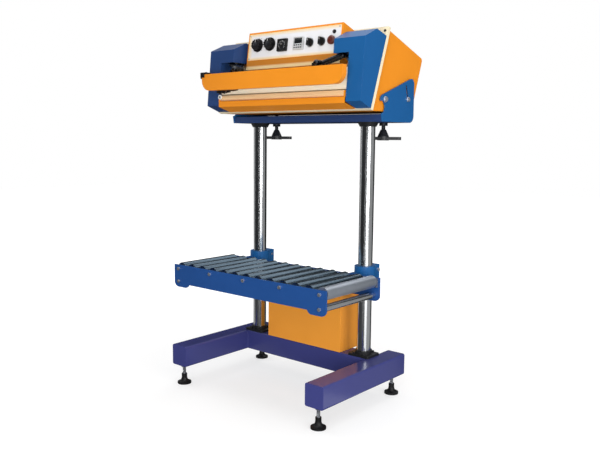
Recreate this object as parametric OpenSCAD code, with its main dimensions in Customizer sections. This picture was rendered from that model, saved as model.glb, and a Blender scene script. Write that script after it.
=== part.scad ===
// Floor-standing bag sealer: H-base, two columns, roller table, tilting sealing head.
// Millimetres. +X is the operator's right, +Y the back, +Z up, with the floor at z = 0.

/* [Base] */
// Distance between the centre lines of the two foot beams
foot_spacing = 758; // [730:1:820]
// Width of a foot beam
foot_w = 88; // [70:1:100]
// Height of the foot beams and of the cross beam
beam_h = 90; // [70:1:120]
// Length of a foot beam, front to back
foot_len = 556; // [500:1:700]
// Reach of the foot beams in front of the column axis
foot_reach = 428; // [390:1:460]
// Sheet thickness of the hollow beams
beam_wall = 4; // [3:0.5:6]
// Outer rounding of the beams' long edges
beam_round = 8; // [7:0.5:14]
// Depth of the cross beam, front to back
cross_d = 104; // [98:1:140]
// Reach of the cross beam in front of the column axis
cross_reach = 44; // [43:1:50]
// Height of the beams' underside above the floor
floor_gap = 85; // [75:1:120]

/* [Levelling feet] */
// Diameter of a levelling pad
pad_d = 60; // [45:1:75]
// Height of a levelling pad
pad_h = 44; // [30:1:50]
// Height of the upright rim at the foot of a pad
pad_rim = 8; // [4:1:14]
// Diameter of a pad's neck
pad_neck_d = 24; // [22:1:36]
// Distance from a beam's end to the nearest pad's centre
pad_inset = 28; // [24:1:60]
// Diameter of a levelling screw
screw_d = 14; // [10:1:18]
// Width across flats of a lock nut
nut_af = 22; // [20:1:30]
// Height of a lock nut
nut_h = 12; // [8:1:16]

/* [Columns] */
// Distance between the two column axes
column_spacing = 600; // [560:1:620]
// Outer diameter of a column
column_d = 60; // [50:1:66]
// Wall of a column tube
column_wall = 4; // [3:0.5:8]
// Width of a base flange
flange_w = 104; // [96:1:116]
// Depth of a base flange
flange_d = 84; // [82:1:86]
// Thickness of a base flange
flange_t = 10; // [6:1:16]
// Wall of the socket on a base flange
flange_socket_wall = 6; // [4:0.5:7]
// Height of the socket on a base flange
flange_socket_h = 14; // [8:1:30]
// Width across flats of a flange bolt
flange_bolt_af = 10; // [8:1:12]
// Wall of a column's top collar, at its upper end
collar_wall = 14; // [8:0.5:18]
// Wall of a column's top collar, at its lower end
collar_lip = 4; // [2:0.5:8]
// Height of a column's top collar
collar_h = 18; // [12:1:40]

/* [Cabinet] */
// Width of the cabinet
cabinet_w = 412; // [340:1:440]
// Depth of the cabinet
cabinet_d = 128; // [110:1:160]
// Height of the cabinet
cabinet_h = 260; // [200:1:290]
// Reach of the cabinet in front of the column axis
cabinet_reach = 41; // [30:1:45]
// Sheet thickness of the cabinet
cabinet_t = 2; // [1.5:0.5:4]

/* [Roller table] */
// Length of the table across the machine
table_w = 840; // [800:1:880]
// Reach of the table in front of the column axis
table_reach = 415; // [380:1:440]
// Space between the column axis and the table's back
table_setback = 65; // [58:1:75]
// Height of the roller tops above the floor
table_z = 538; // [500:1:600]
// Height of the roller tops above the side plates
roller_rise = 8; // [4:1:12]
// Height of a side plate between its end lobes
plate_h = 82; // [72:1:100]
// Depth of a side plate's end lobes below its middle
lobe_drop = 15; // [10:1:20]
// Length of a side plate's end lobe
lobe_len = 92; // [84:1:120]
// Thickness of a side plate
plate_t = 6; // [4:0.5:8]
// Thickness of a roller carrier
carrier_t = 8; // [6:0.5:12]
// Height of a roller carrier
carrier_h = 36; // [30:1:44]
// Diameter of a roller
roller_d = 50; // [40:1:56]
// Wall of a roller tube
roller_wall = 3; // [2:0.5:6]
// Distance from the table's end to the nearest roller axis
roller_end = 30; // [28:1:40]
// Diameter of a roller's fixed axle
axle_d = 15; // [13:1:18]
// Gap between a roller's end and its carrier
roller_end_gap = 3; // [1:0.5:5]
// Diameter of a table bolt's shank
bolt_d = 8; // [6:1:10]
// Width across flats of a table bolt
bolt_af = 13; // [11:1:19]
// Diameter of a tie bar
tie_d = 28; // [22:1:32]
// Drop of a tie bar's underside below the side plates' middle part
tie_drop = 4; // [0:1:8]

/* [Table clamps] */
// Wall of a clamp around its column
clamp_wall = 15; // [10:0.5:16]
// Height of a clamp
clamp_h = 88; // [60:1:100]
// Height of a clamp's top above the side plates
clamp_rise = 27; // [10:1:40]
// Reach of a clamp's ears behind the column axis
clamp_ear_reach = 72; // [66:1:90]
// Width over both ears of a clamp
clamp_ear_w = 46; // [36:1:60]
// Width of the slit between a clamp's ears
clamp_slit = 4; // [2:0.5:6]
// Diameter of a clamp bolt
clamp_bolt_d = 10; // [8:1:12]

/* [Bracket] */
// Height of the bracket's underside above the floor
bracket_z = 1146; // [1100:1:1200]
// Reach of the bracket in front of the column axis
bracket_reach = 62; // [58:1:66]
// Reach of the bracket behind the column axis
bracket_back = 152; // [148:1:160]
// Thickness of the tray's sheet
tray_t = 6; // [4:0.5:8]
// Height of the tray's front wall
tray_h = 28; // [22:1:32]
// Height of the tray's rear wall
tray_back_h = 39; // [26:1:39]
// Thickness of an ear
ear_t = 6; // [5:0.5:10]
// Rounding of an ear's lower rear corner
ear_low_round = 28; // [16:1:34]
// Rounding of an ear's upper rear corner
ear_high_round = 20; // [18:1:26]
// Rise of an ear's upper rear corner centre above the bracket's underside
ear_high_z = 157; // [154:1:166]
// Rounding of an ear around its pivot
ear_pivot_round = 18; // [17:1:20]
// Radius of the hollow in an ear's front edge
ear_hollow_r = 24; // [14:1:26]
// Diameter of a pivot bolt
pivot_bolt_d = 12; // [10:1:18]
// Diameter of a tilt lock bolt
lock_bolt_d = 10; // [8:1:12]
// Distance of a tilt lock bolt from the pivot
lock_radius = 166; // [156:1:176]
// Angle of a tilt lock bolt above level, seen from the pivot
lock_angle = 2.4; // [1:0.1:4]
// Width of the arc slot for a tilt lock bolt
slot_w = 13.5; // [13:0.5:15]
// Angle through which the head tilts
tilt_travel = 18; // [10:1:18]

/* [Hand knobs] */
// Distance of a hand knob behind the column axis
knob_y = 112; // [100:1:120]
// Reach of a hand knob's arms from its axis
knob_reach = 76; // [40:1:78]
// Diameter of a hand knob's screw
knob_screw_d = 16; // [12:1:20]
// Thickness of a hand knob's arms
knob_arm_t = 13; // [6:1:16]
// Height of a hand knob's hub
knob_hub_h = 30; // [16:1:36]
// Space between the bracket and the hub of a hand knob
knob_drop = 28; // [14:1:34]

/* [Head] */
// Distance of the pivot in front of the column axis
pivot_reach = 48; // [46:1:50]
// Height of the pivot above the bracket's underside
pivot_up = 86; // [83:1:92]
// Backward lean of the head at rest
head_tilt = 19; // [17:0.5:20]
// Distance from the pivot to the head shell's front
head_front = 69; // [64:1:74]
// Distance from the pivot to the head shell's back
head_back = 216; // [205:1:240]
// Distance from the pivot to the head shell's top
head_top = 264; // [256:1:270]
// Drop of the head's level underside below the pivot
head_drop = 46; // [44:0.5:48]
// Sheet thickness of the head shell
shell_t = 3; // [2:0.5:4]
// Rounding of the head shell's rear edges
head_round = 12; // [8:1:20]
// Number of ventilation slots in each group at the back
vent_count = 7; // [4:1:8]
// Width of a ventilation slot
vent_w = 70; // [40:1:90]
// Height of a ventilation slot
vent_h = 5; // [4:0.5:6]
// Distance between neighbouring ventilation slots
vent_pitch = 14; // [12:1:16]
// Reach of the front pan past each side of the head shell
pan_lip = 16; // [10:1:18]
// Depth of the front pan
pan_t = 16; // [12:1:18]

/* [End covers] */
// Gap between the rear jaw's end and a cover's leg
cover_leg_gap = 4; // [1:0.5:8]
// Width of a cover's leg
cover_leg_w = 70; // [66:1:74]
// Gap between the control box's side and a cover's head
cover_head_gap = 16; // [14:1:22]
// Sheet thickness of a cover
cover_t = 3; // [2:0.5:3.5]
// Reach of a cover's nose in front of the pivot
nose_reach = 172; // [170:1:176]
// Height of a cover's nose against the pivot
nose_z = -14; // [-18:1:-4]
// Reach of a cover's brow in front of the pivot
brow_reach = 149; // [146:1:152]
// Height of a cover's brow above the pivot
brow_z = 225; // [218:1:232]
// Reach of a cover's ridge in front of the pivot
ridge_reach = 72; // [66:1:84]
// Height of a cover's ridge above the pivot
ridge_z = 259; // [250:1:264]
// Height of a cover's upper edge up the front pan
cover_pan_high = 224; // [220:1:228]
// Height of a cover's lower edge up the front pan
cover_pan_low = -70; // [-72:1:-64]
// Height of the underside of a cover's head above the pivot
notch_z = 170; // [170:1:176]

/* [Control box] */
// Width of the control box
box_w = 512; // [498:1:528]
// Depth of the control box along its top
box_d = 77; // [70:1:84]
// Height of the control box's front
box_h = 160; // [154:1:162]
// Backward lean of the control box's front
box_lean = 8; // [6:0.5:10]
// Step from the head shell's top down to the control box's top
box_step = 4; // [0:1:8]
// Sheet thickness of the control box
box_t = 2.5; // [2:0.5:4]
// Height of the plain strip below the panel
panel_low = 40; // [34:1:42]
// Margin of the control box around the panel
panel_margin = 8; // [5:1:10]
// Thickness of the panel
panel_t = 3; // [2:0.5:4]
// Height of the row of controls above the panel's lower edge
control_z = 52; // [46:1:58]
// Height of the dials above the row of controls
dial_rise = 10; // [0:1:16]
// Diameter of a dial
dial_d = 56; // [44:1:58]
// Height of a dial
dial_h = 22; // [16:1:28]
// Diameter of a dial's or selector's shaft
shaft_d = 6; // [5:0.5:8]
// Sideways places of the two dials
dial_x = -193; // [-200:1:-186]
// Distance between the two dials
dial_pitch = 71; // [66:1:74]
// Sideways place of the timer
timer_x = -49; // [-53:1:-45]
// Sideways place of the counter
counter_x = 40; // [34:1:44]
// Width and height of the timer and the counter
meter_w = 52; // [44:1:54]
// Projection of the timer and the counter
meter_h = 12; // [8:1:18]
// Sideways place of the first selector knob
selector_x = 97; // [93:1:101]
// Distance between the two selector knobs
selector_pitch = 60; // [52:1:62]
// Diameter of a selector knob
selector_d = 30; // [24:1:34]
// Sideways place of the stop button
stop_x = 210; // [206:1:214]
// Diameter of the stop button
stop_d = 36; // [30:1:38]
// Travel of the stop button
stop_travel = 5; // [3:0.5:6]
// Height of the lamp above the row of controls
lamp_rise = 34; // [32:1:38]
// Diameter of the lamp
lamp_d = 14; // [10:1:16]

/* [Rear jaw] */
// Length of the rear jaw across the machine
rear_jaw_w = 684; // [670:1:690]
// Reach of the rear seal face in front of the pivot
seal_reach = 156; // [154:1:158]
// Height of the rear jaw's underside above the pivot
rear_jaw_z = 30; // [28:1:32]
// Height of the rear jaw bar
rear_jaw_h = 88; // [80:1:92]
// Thickness of the rear jaw bar's face
rear_jaw_t = 26; // [18:1:34]
// Thickness of the rear jaw bar's web
rear_web_t = 18; // [12:1:24]
// Thickness of the rear seal strip
seal_t = 6; // [4:0.5:8]
// Margin of the rear jaw bar above and below the seal strip
seal_margin = 4; // [2:1:8]
// Diameter of the release cloth roll
roll_d = 24; // [20:1:26]
// Diameter of the release cloth roll's spindle
spindle_d = 8; // [6:1:10]
// Reach of the lower front cover in front of the pivot
lower_reach = 173; // [172:1:176]
// Height of the lower front cover's face
lower_h = 24; // [18:1:26]
// Sheet thickness of the lower front cover
lower_t = 2.5; // [2:0.5:4]

/* [Front jaw] */
// Reach of the front jaw cover past each end of the rear jaw
front_jaw_lap = 38; // [26:1:42]
// Height of the front jaw cover
front_jaw_h = 70; // [58:1:72]
// Height of the front jaw's underside above the pivot
front_jaw_z = 47; // [45:1:51]
// Opening between the jaws at rest
jaw_gap = 28; // [24:1:29]
// Space left between the jaws when they are shut
shut_gap = 0.5; // [0.3:0.1:1]
// Depth of the front jaw cover
jaw_cover_d = 24; // [20:1:36]
// Sheet thickness of the front jaw cover
jaw_cover_t = 2.5; // [2:0.5:4]
// Rounding of the front jaw cover's lower corners
jaw_cover_round = 44; // [12:1:50]
// Depth of the front jaw bar
front_bar_d = 27; // [24:1:30]
// Depth by which the front jaw cover laps over the bar
jaw_cover_lap = 1; // [0:1:13]
// Rise of the bar's underside above the cover's lower edge
bar_low_gap = 9; // [6:1:12]
// Drop of the bar's top below the cover's upper edge
bar_high_gap = 7; // [5:1:9]
// Distance between neighbouring spacers behind the front jaw cover
spacer_pitch = 200; // [150:1:250]
// Height of the heating strip
heater_h = 24; // [16:1:30]
// Thickness of the heating strip
heater_t = 3; // [2:0.5:4]
// Diameter of a jaw arm
arm_d = 24; // [18:1:25]
// Sideways run of a jaw arm from its jaw to its cylinder
arm_spread = 78; // [70:1:100]
// Distance of an air cylinder's axis from the inner side of a cover's head
arm_inset = 28; // [25:1:40]
// Run of a jaw arm over the rear jaw before it turns outward
arm_run = 39.5; // [34:0.5:41]
// Run of a jaw arm towards the back where it slopes
arm_back = 23; // [20:1:26]
// Gap between the rear jaw's top and a jaw arm
arm_gap = 4; // [2:1:6]
// Height of an air cylinder's axis above the pivot
cylinder_z = 162; // [156:1:163]
// Space between a jaw arm and its air cylinder when the jaws are shut
cylinder_gap = 11; // [6:1:16]
// Diameter of an air cylinder
cylinder_d = 40; // [32:1:42]
// Length of an air cylinder
cylinder_len = 120; // [110:1:140]
// Diameter of a piston rod
rod_d = 14; // [10:1:18]

/* [Fits] */
// Radial clearance of running fits and seats
fit = 0.05; // [0.02:0.01:0.1]
// Clearance between faces that are screwed together at an angle
seat_gap = 0.05; // [0.02:0.01:0.2]
// Gap between neighbouring faces that move past each other
running_gap = 0.3; // [0.3:0.1:0.6]

/* [Hidden] */
$fn = 64;
ROLLER_NODES = ["roller_01", "roller_02", "roller_03", "roller_04", "roller_05", "roller_06", "roller_07",
    "roller_08", "roller_09", "roller_10", "roller_11", "roller_12", "roller_13"];

// Colours
orange = [0.94, 0.58, 0.14];
cover_blue = [0.14, 0.33, 0.60];
frame_blue = [0.24, 0.27, 0.59];
chrome = [0.80, 0.81, 0.83];
steel = [0.62, 0.63, 0.65];
black = [0.08, 0.08, 0.09];
cream = [0.95, 0.92, 0.82];
white = [0.96, 0.96, 0.97];
tan_cloth = [0.80, 0.68, 0.47];
red = [0.62, 0.18, 0.10];

// Small allowances shared by several pieces
over = 1;
edge_round = 1;
plate_round = 6;
washer_t = 2;
ear_gap = 5;
ear_low_swell = 14;
ear_high_swell = -7;
ear_pivot_ahead = 10;
ear_hollow_bite = 3;

// Base places
beam_z = floor_gap + beam_h;
foot_x = foot_spacing / 2;
foot_front_y = -foot_reach;
foot_back_y = foot_front_y + foot_len;
pad_ys = [foot_front_y + pad_inset, foot_back_y - pad_inset];
screw_seat = 14;
flare_steps = 6;
screw_end_z = floor_gap + beam_wall + nut_h;
column_x = column_spacing / 2;
socket_d = column_d + 2 * flange_socket_wall;
flange_bolt_x = 24;
flange_bolt_y = 35;
flange_bolt_d = 6;
flange_bolt_h = 6;

// Roller table places
plate_z = table_z - roller_rise;
roller_z = table_z - roller_d / 2;
plate_front_y = -table_reach;
plate_back_y = -table_setback;
front_inner_y = plate_front_y + plate_t;
rear_inner_y = plate_back_y - plate_t;
carrier_low_z = roller_z - carrier_h / 2 - carrier_t / 2;
bolt_head_h = 7;
bolt_grip = 12;
roller_count = len(ROLLER_NODES);
roller_pitch = (table_w - 2 * roller_end) / (roller_count - 1);
bolted_axles = [0:3:roller_count - 1];
tie_x = roller_x(roller_count - 1);
tie_z = plate_z - plate_h + tie_d / 2 - tie_drop;
lobe_round = 24;
clamp_d = column_d + 2 * clamp_wall;
clamp_z = plate_z + clamp_rise - clamp_h;
clamp_foot_w = clamp_d * 0.8;
clamp_bolt_y = (clamp_d / 2 + clamp_ear_reach) / 2;
clamp_bolt_zs = [clamp_z + clamp_h / 4, clamp_z + 3 * clamp_h / 4];

// Bracket and head places
pivot_y = -pivot_reach;
pivot_z = bracket_z + pivot_up;
cover_leg = rear_jaw_w / 2 + cover_leg_gap;
cover_out = cover_leg + cover_leg_w;
cover_in = box_w / 2 + cover_head_gap;
head_w = 2 * (cover_out - pan_lip);
ear_x = head_w / 2 + ear_gap;
tray_z = bracket_z + tray_t;
lock_y = pivot_y + lock_radius * cos(lock_angle);
lock_z = pivot_z + lock_radius * sin(lock_angle);
head_under_z = pivot_z - head_drop;
pan_front = -head_front - pan_t;
pan_seat = pan_front - seat_gap;

// Jaw places, level with the machine while the head is at rest
seal_y = pivot_y - seal_reach;
rear_bar_y = seal_y + seal_t;
rear_low_z = pivot_z + rear_jaw_z;
heater_y = seal_y - jaw_gap;
front_bar_back_y = heater_y - heater_t;
front_bar_y = front_bar_back_y - front_bar_d;
jaw_cover_back_y = front_bar_y + jaw_cover_lap;
jaw_cover_y = jaw_cover_back_y - jaw_cover_d;
front_low_z = pivot_z + front_jaw_z;
front_bar_low_z = front_low_z + bar_low_gap;
front_bar_h = front_jaw_h - bar_low_gap - bar_high_gap;
front_bar_top_z = front_bar_low_z + front_bar_h;
jaw_stroke = jaw_gap - shut_gap;
arm_head_x = cover_in + arm_inset;
arm_jaw_x = arm_head_x - arm_spread;
arm_foot_w = 36;
arm_foot_d = 13;
arm_foot_inset = 1;
elbow_swell = 1;
arm_foot_y = front_bar_back_y - arm_foot_inset - arm_foot_d / 2;
arm_low_y = arm_foot_y + arm_run;
arm_low_z = rear_low_z + rear_jaw_h + arm_gap + arm_d / 2;
arm_high_y = arm_low_y + arm_back;
arm_high_z = pivot_z + cylinder_z;
window_lip = 4;
rod_grip = 18;
cylinder_y = arm_high_y + jaw_stroke + arm_d / 2 + cylinder_gap;
rod_len = cylinder_y - arm_high_y + rod_grip;
roll_gap = 1;
roll_z = rear_low_z - roll_d / 2 - roll_gap;
roll_y = pivot_y - lower_reach + roll_d / 2;
lower_top_z = roll_z - roll_d / 2 - roll_gap;
hem_rise = 6;
cheek_t = 4;
cheek_drop = 2;

// Panel places
box_top = tilt_point([pan_front - box_d, head_top - box_step]);
box_low = box_top - box_h * [sin(box_lean), cos(box_lean)];
panel_h = box_h - panel_low - panel_margin;
control_up = panel_low + control_z;
dial_up = control_up + dial_rise;
panel_y = -panel_t - seat_gap;
meter_rim = 5;
meter_recess = 2;

// The machine stands with the middle of its depth at y = 0
pad_front_y = pad_ys[0] - pad_d / 2;
head_rear_y = tilt_point([head_back - head_round, head_top - head_round])[0] + head_round;
depth_shift = -(min(pad_front_y, foot_front_y) + head_rear_y) / 2;

// A head point given as [back, up] from the pivot, as [y, z] in the machine
function tilt_point(p) = [pivot_y + p[0] * cos(head_tilt) + p[1] * sin(head_tilt),
    pivot_z - p[0] * sin(head_tilt) + p[1] * cos(head_tilt)];

// Place of a face seated on the front pan at machine height z
function pan_y(z) = tilt_point([pan_seat, (z - pivot_z + pan_seat * sin(head_tilt)) / cos(head_tilt)])[0];

// Height above the pivot, along the head, of a level line at a rise above the head's underside
function under_at(back, rise) = (back * sin(head_tilt) - head_drop + rise) / cos(head_tilt);

// Corner circles [x, y, r] of a rectangle, anticlockwise
function box_corners(x0, x1, y0, y1, r) =
    [[x0 + r, y0 + r, r], [x1 - r, y0 + r, r], [x1 - r, y1 - r, r], [x0 + r, y1 - r, r]];

// Ends of the outer tangent that runs from circle a to circle b
function tangent(a, b) =
    let (
        run = [b[0] - a[0], b[1] - a[1]],
        turn = atan2(run[1], run[0]) - acos((a[2] - b[2]) / norm(run)),
        out = [cos(turn), sin(turn)]
    )
    [[a[0], a[1]] + a[2] * out, [b[0], b[1]] + b[2] * out];

// A polygon, anticlockwise, with every side moved inward by d
function inset(points, d) =
    let (count = len(points))
    [for (i = [0:count - 1])
        let (
            before = points[i] - points[(i + count - 1) % count],
            after = points[(i + 1) % count] - points[i],
            in_before = [-before[1], before[0]] / norm(before),
            in_after = [-after[1], after[0]] / norm(after)
        )
        points[i] + d * (in_before + in_after) / (1 + in_before * in_after)];

// A convex outline around corner circles given anticlockwise
module rounded_outline(corners) {
    count = len(corners);
    polygon([for (i = [0:count - 1]) each tangent(corners[i], corners[(i + 1) % count])]);
    for (c = corners) translate([c[0], c[1]]) circle(r = c[2]);
}

// Sets a shape drawn in the machine frame at the middle of its depth
module placed() {
    translate([0, depth_shift, 0]) children();
}

// A shape and its mirror image on the other side of the machine
module both_sides() {
    children();
    mirror([1, 0, 0]) children();
}

// Runs a [y, z] outline across the machine
module across(x0, x1) {
    translate([x0, 0, 0]) rotate([90, 0, 90]) linear_extrude(height = x1 - x0) children();
}

// Runs an [x, z] outline from front to back
module facing(y0, y1) {
    translate([0, y1, 0]) rotate([90, 0, 0]) linear_extrude(height = y1 - y0) children();
}

// A round bar across the machine
module bar_x(d, x0, x1, y, z) {
    translate([x0, y, z]) rotate([0, 90, 0]) cylinder(d = d, h = x1 - x0);
}

// A round bar from front to back
module bar_y(d, y0, y1, x, z) {
    translate([x, y1, z]) rotate([90, 0, 0]) cylinder(d = d, h = y1 - y0);
}

// A round bar between two points
module bar_between(a, b, d) {
    run = b - a;
    translate(a)
        rotate([0, acos(run[2] / norm(run)), atan2(run[1], run[0])])
        cylinder(d = d, h = norm(run));
}

// The head's own frame, with the pivot as its origin
module tilted() {
    translate([0, pivot_y, pivot_z]) rotate([-head_tilt, 0, 0]) children();
}

// The control box's front as a frame: x across, z up the front, -y outward
module on_front() {
    translate([0, box_low[0], box_low[1]]) rotate([-box_lean, 0, 0]) children();
}

// A hexagon head or nut
module hexagon(af, h) {
    cylinder(d = af / cos(30), h = h, $fn = 6);
}

// One hollow foot beam with its screw holes
module foot_beam(side) {
    x0 = side * foot_x - foot_w / 2;
    x1 = side * foot_x + foot_w / 2;
    difference() {
        facing(foot_front_y, foot_back_y)
            rounded_outline(box_corners(x0, x1, floor_gap, beam_z, beam_round));
        facing(foot_front_y + beam_wall, foot_back_y - beam_wall)
            rounded_outline(box_corners(x0 + beam_wall, x1 - beam_wall, floor_gap + beam_wall,
                beam_z - beam_wall, beam_round - beam_wall));
        for (y = pad_ys)
            translate([side * foot_x, y, floor_gap - over])
                cylinder(d = screw_d + 2 * fit, h = beam_wall + 2 * over);
        flange_bolt_holes();
    }
}

module left_foot_beam() {
    color(frame_blue) placed() foot_beam(-1);
}

module right_foot_beam() {
    color(frame_blue) placed() foot_beam(1);
}

module cross_beam() {
    half = foot_x - foot_w / 2;
    y0 = -cross_reach;
    y1 = y0 + cross_d;
    color(frame_blue) placed() difference() {
        across(-half, half) rounded_outline(box_corners(y0, y1, floor_gap, beam_z, beam_round));
        across(-half - over, half + over)
            rounded_outline(box_corners(y0 + beam_wall, y1 - beam_wall, floor_gap + beam_wall,
                beam_z - beam_wall, beam_round - beam_wall));
        flange_bolt_holes();
    }
}

// Holes for the flange bolts in the top of whichever beam they stand on
module flange_bolt_holes() {
    at_flange_bolts()
        translate([0, 0, beam_z - beam_wall - over])
        cylinder(d = flange_bolt_d + 2 * fit, h = beam_wall + 2 * over);
}

// Repeats a shape at each levelling foot
module at_pads() {
    for (side = [-1, 1])
        for (y = pad_ys)
            translate([side * foot_x, y, 0]) children();
}

// Repeats a shape at each bolt of both base flanges
module at_flange_bolts() {
    for (side = [-1, 1])
        for (dx = [-flange_bolt_x, flange_bolt_x])
            for (dy = [-flange_bolt_y, flange_bolt_y])
                translate([side * column_x + dx, dy, 0]) children();
}

module levelling_pads() {
    flare_h = pad_h - pad_rim - screw_seat;
    flare_r = (pad_d - pad_neck_d) / 2;
    flare_step = 90 / flare_steps;
    flare = [for (a = [0:flare_step:90]) [pad_d / 2 - flare_r * sin(a), pad_rim + flare_h * (1 - cos(a))]];
    color(black) placed() at_pads() difference() {
        rotate_extrude()
            polygon(concat([[0, 0], [pad_d / 2, 0]], flare, [[pad_neck_d / 2, pad_h], [0, pad_h]]));
        translate([0, 0, pad_h - screw_seat]) cylinder(d = screw_d + 2 * fit, h = screw_seat + over);
    }
}

module levelling_screws() {
    color(steel) placed() at_pads() {
        translate([0, 0, pad_h - screw_seat]) cylinder(d = screw_d, h = screw_end_z - pad_h + screw_seat);
        difference() {
            translate([0, 0, floor_gap - nut_h]) hexagon(nut_af, nut_h);
            translate([0, 0, floor_gap - nut_h - over]) cylinder(d = screw_d + 2 * fit, h = nut_h + 2 * over);
        }
    }
}

// One column tube
module column(side) {
    translate([side * column_x, 0, beam_z]) difference() {
        cylinder(d = column_d, h = tray_z - beam_z);
        translate([0, 0, -over])
            cylinder(d = column_d - 2 * column_wall, h = tray_z - beam_z + 2 * over);
    }
}

module left_column() {
    color(chrome) placed() column(-1);
}

module right_column() {
    color(chrome) placed() column(1);
}

module column_base_flanges() {
    color(black) placed() difference() {
        for (side = [-1, 1]) {
            translate([side * column_x, 0, beam_z])
                linear_extrude(height = flange_t)
                rounded_outline(box_corners(-flange_w / 2, flange_w / 2, -flange_d / 2, flange_d / 2,
                    plate_round));
            translate([side * column_x, 0, beam_z]) cylinder(d = socket_d, h = flange_t + flange_socket_h);
        }
        for (side = [-1, 1])
            translate([side * column_x, 0, beam_z - over])
                cylinder(d = column_d + 2 * fit, h = flange_t + flange_socket_h + 2 * over);
        at_flange_bolts() translate([0, 0, beam_z - over])
            cylinder(d = flange_bolt_d + 2 * fit, h = flange_t + 2 * over);
    }
}

module flange_bolts() {
    color(black) placed() at_flange_bolts() {
        translate([0, 0, beam_z - beam_wall]) cylinder(d = flange_bolt_d, h = beam_wall + flange_t + over);
        translate([0, 0, beam_z + flange_t]) hexagon(flange_bolt_af, flange_bolt_h);
    }
}

module column_top_collars() {
    color(black) placed() both_sides() translate([column_x, 0, bracket_z - collar_h]) difference() {
        cylinder(d1 = column_d + 2 * collar_lip, d2 = column_d + 2 * collar_wall, h = collar_h);
        translate([0, 0, -over]) cylinder(d = column_d + 2 * fit, h = collar_h + 2 * over);
    }
}

module bracket_tray() {
    front_z = bracket_z + tray_h;
    back_z = bracket_z + tray_back_h;
    front = -bracket_reach;
    section = [[front, bracket_z], [bracket_back, bracket_z], [bracket_back, back_z],
        [bracket_back - tray_t, back_z], [bracket_back - tray_t, tray_z],
        [front + tray_t, tray_z], [front + tray_t, front_z], [front, front_z]];
    color(cover_blue) placed() difference() {
        across(-ear_x, ear_x) polygon(section);
        both_sides() {
            translate([column_x, 0, bracket_z - over])
                cylinder(d = column_d + 2 * fit, h = tray_t + 2 * over);
            translate([column_x, knob_y, bracket_z - over])
                cylinder(d = knob_screw_d + 2 * fit, h = tray_t + 2 * over);
        }
    }
}

// The arc along which a lock bolt moves, around the pivot
module arc_slot() {
    far = 2 * lock_radius;
    low = lock_angle;
    high = lock_angle + tilt_travel;
    intersection() {
        difference() {
            circle(r = lock_radius + slot_w / 2);
            circle(r = lock_radius - slot_w / 2);
        }
        polygon([[0, 0], far * [cos(low), sin(low)], far * [cos(high), sin(high)]]);
    }
    for (a = [low, high]) translate(lock_radius * [cos(a), sin(a)]) circle(d = slot_w);
}

// One ear of the bracket, on the right
module ear() {
    low_y = bracket_back - ear_low_round + ear_low_swell;
    across(ear_x, ear_x + ear_t) difference() {
        rounded_outline([[-bracket_reach + edge_round, bracket_z + edge_round, edge_round],
            [low_y, bracket_z + ear_low_round, ear_low_round],
            [bracket_back + ear_high_swell, bracket_z + ear_high_z, ear_high_round],
            [pivot_y - ear_pivot_ahead, pivot_z, ear_pivot_round]]);
        translate([pivot_y - ear_hollow_r + ear_hollow_bite, pivot_z - ear_pivot_round - ear_hollow_r / 2])
            circle(r = ear_hollow_r);
        translate([pivot_y, pivot_z]) circle(d = pivot_bolt_d + 2 * fit);
        translate([pivot_y, pivot_z]) arc_slot();
    }
}

module left_ear() {
    color(cover_blue) placed() mirror([1, 0, 0]) ear();
}

module right_ear() {
    color(cover_blue) placed() ear();
}

// A bolt with a washer outside an ear, turned so that its shank runs inward along -X
module ear_bolt(d, inner_x, face_x, y, z) {
    washer_d = 2 * d;
    head_af = 1.5 * d;
    head_h = 0.5 * d;
    bar_x(d, inner_x, face_x + over, y, z);
    bar_x(washer_d, face_x, face_x + washer_t, y, z);
    translate([face_x + washer_t, y, z]) rotate([0, 90, 0]) hexagon(head_af, head_h);
}

module pivot_bolts() {
    color(steel) placed() both_sides()
        ear_bolt(pivot_bolt_d, head_w / 2 - shell_t, ear_x + ear_t, pivot_y, pivot_z);
}

module tilt_lock_bolts() {
    color(steel) placed() both_sides()
        ear_bolt(lock_bolt_d, head_w / 2 - shell_t, ear_x + ear_t + running_gap, lock_y, lock_z);
}

module cabinet_shell() {
    y1 = cabinet_d - cabinet_reach;
    color(orange) placed() difference() {
        translate([-cabinet_w / 2, -cabinet_reach, beam_z]) cube([cabinet_w, cabinet_d, cabinet_h]);
        translate([-cabinet_w / 2 + cabinet_t, -cabinet_reach + cabinet_t, beam_z + cabinet_t])
            cube([cabinet_w - 2 * cabinet_t, y1 + cabinet_reach, cabinet_h - 2 * cabinet_t]);
    }
}

module cabinet_rear_cover() {
    color(orange) placed() translate([-cabinet_w / 2, cabinet_d - cabinet_reach, beam_z]) difference() {
        cube([cabinet_w, cabinet_t, cabinet_h]);
        for (i = [0:vent_count - 1])
            translate([(cabinet_w - vent_w) / 2, -over, cabinet_h / 2 + i * vent_pitch])
                cube([vent_w, cabinet_t + 2 * over, vent_h]);
    }
}

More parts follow.
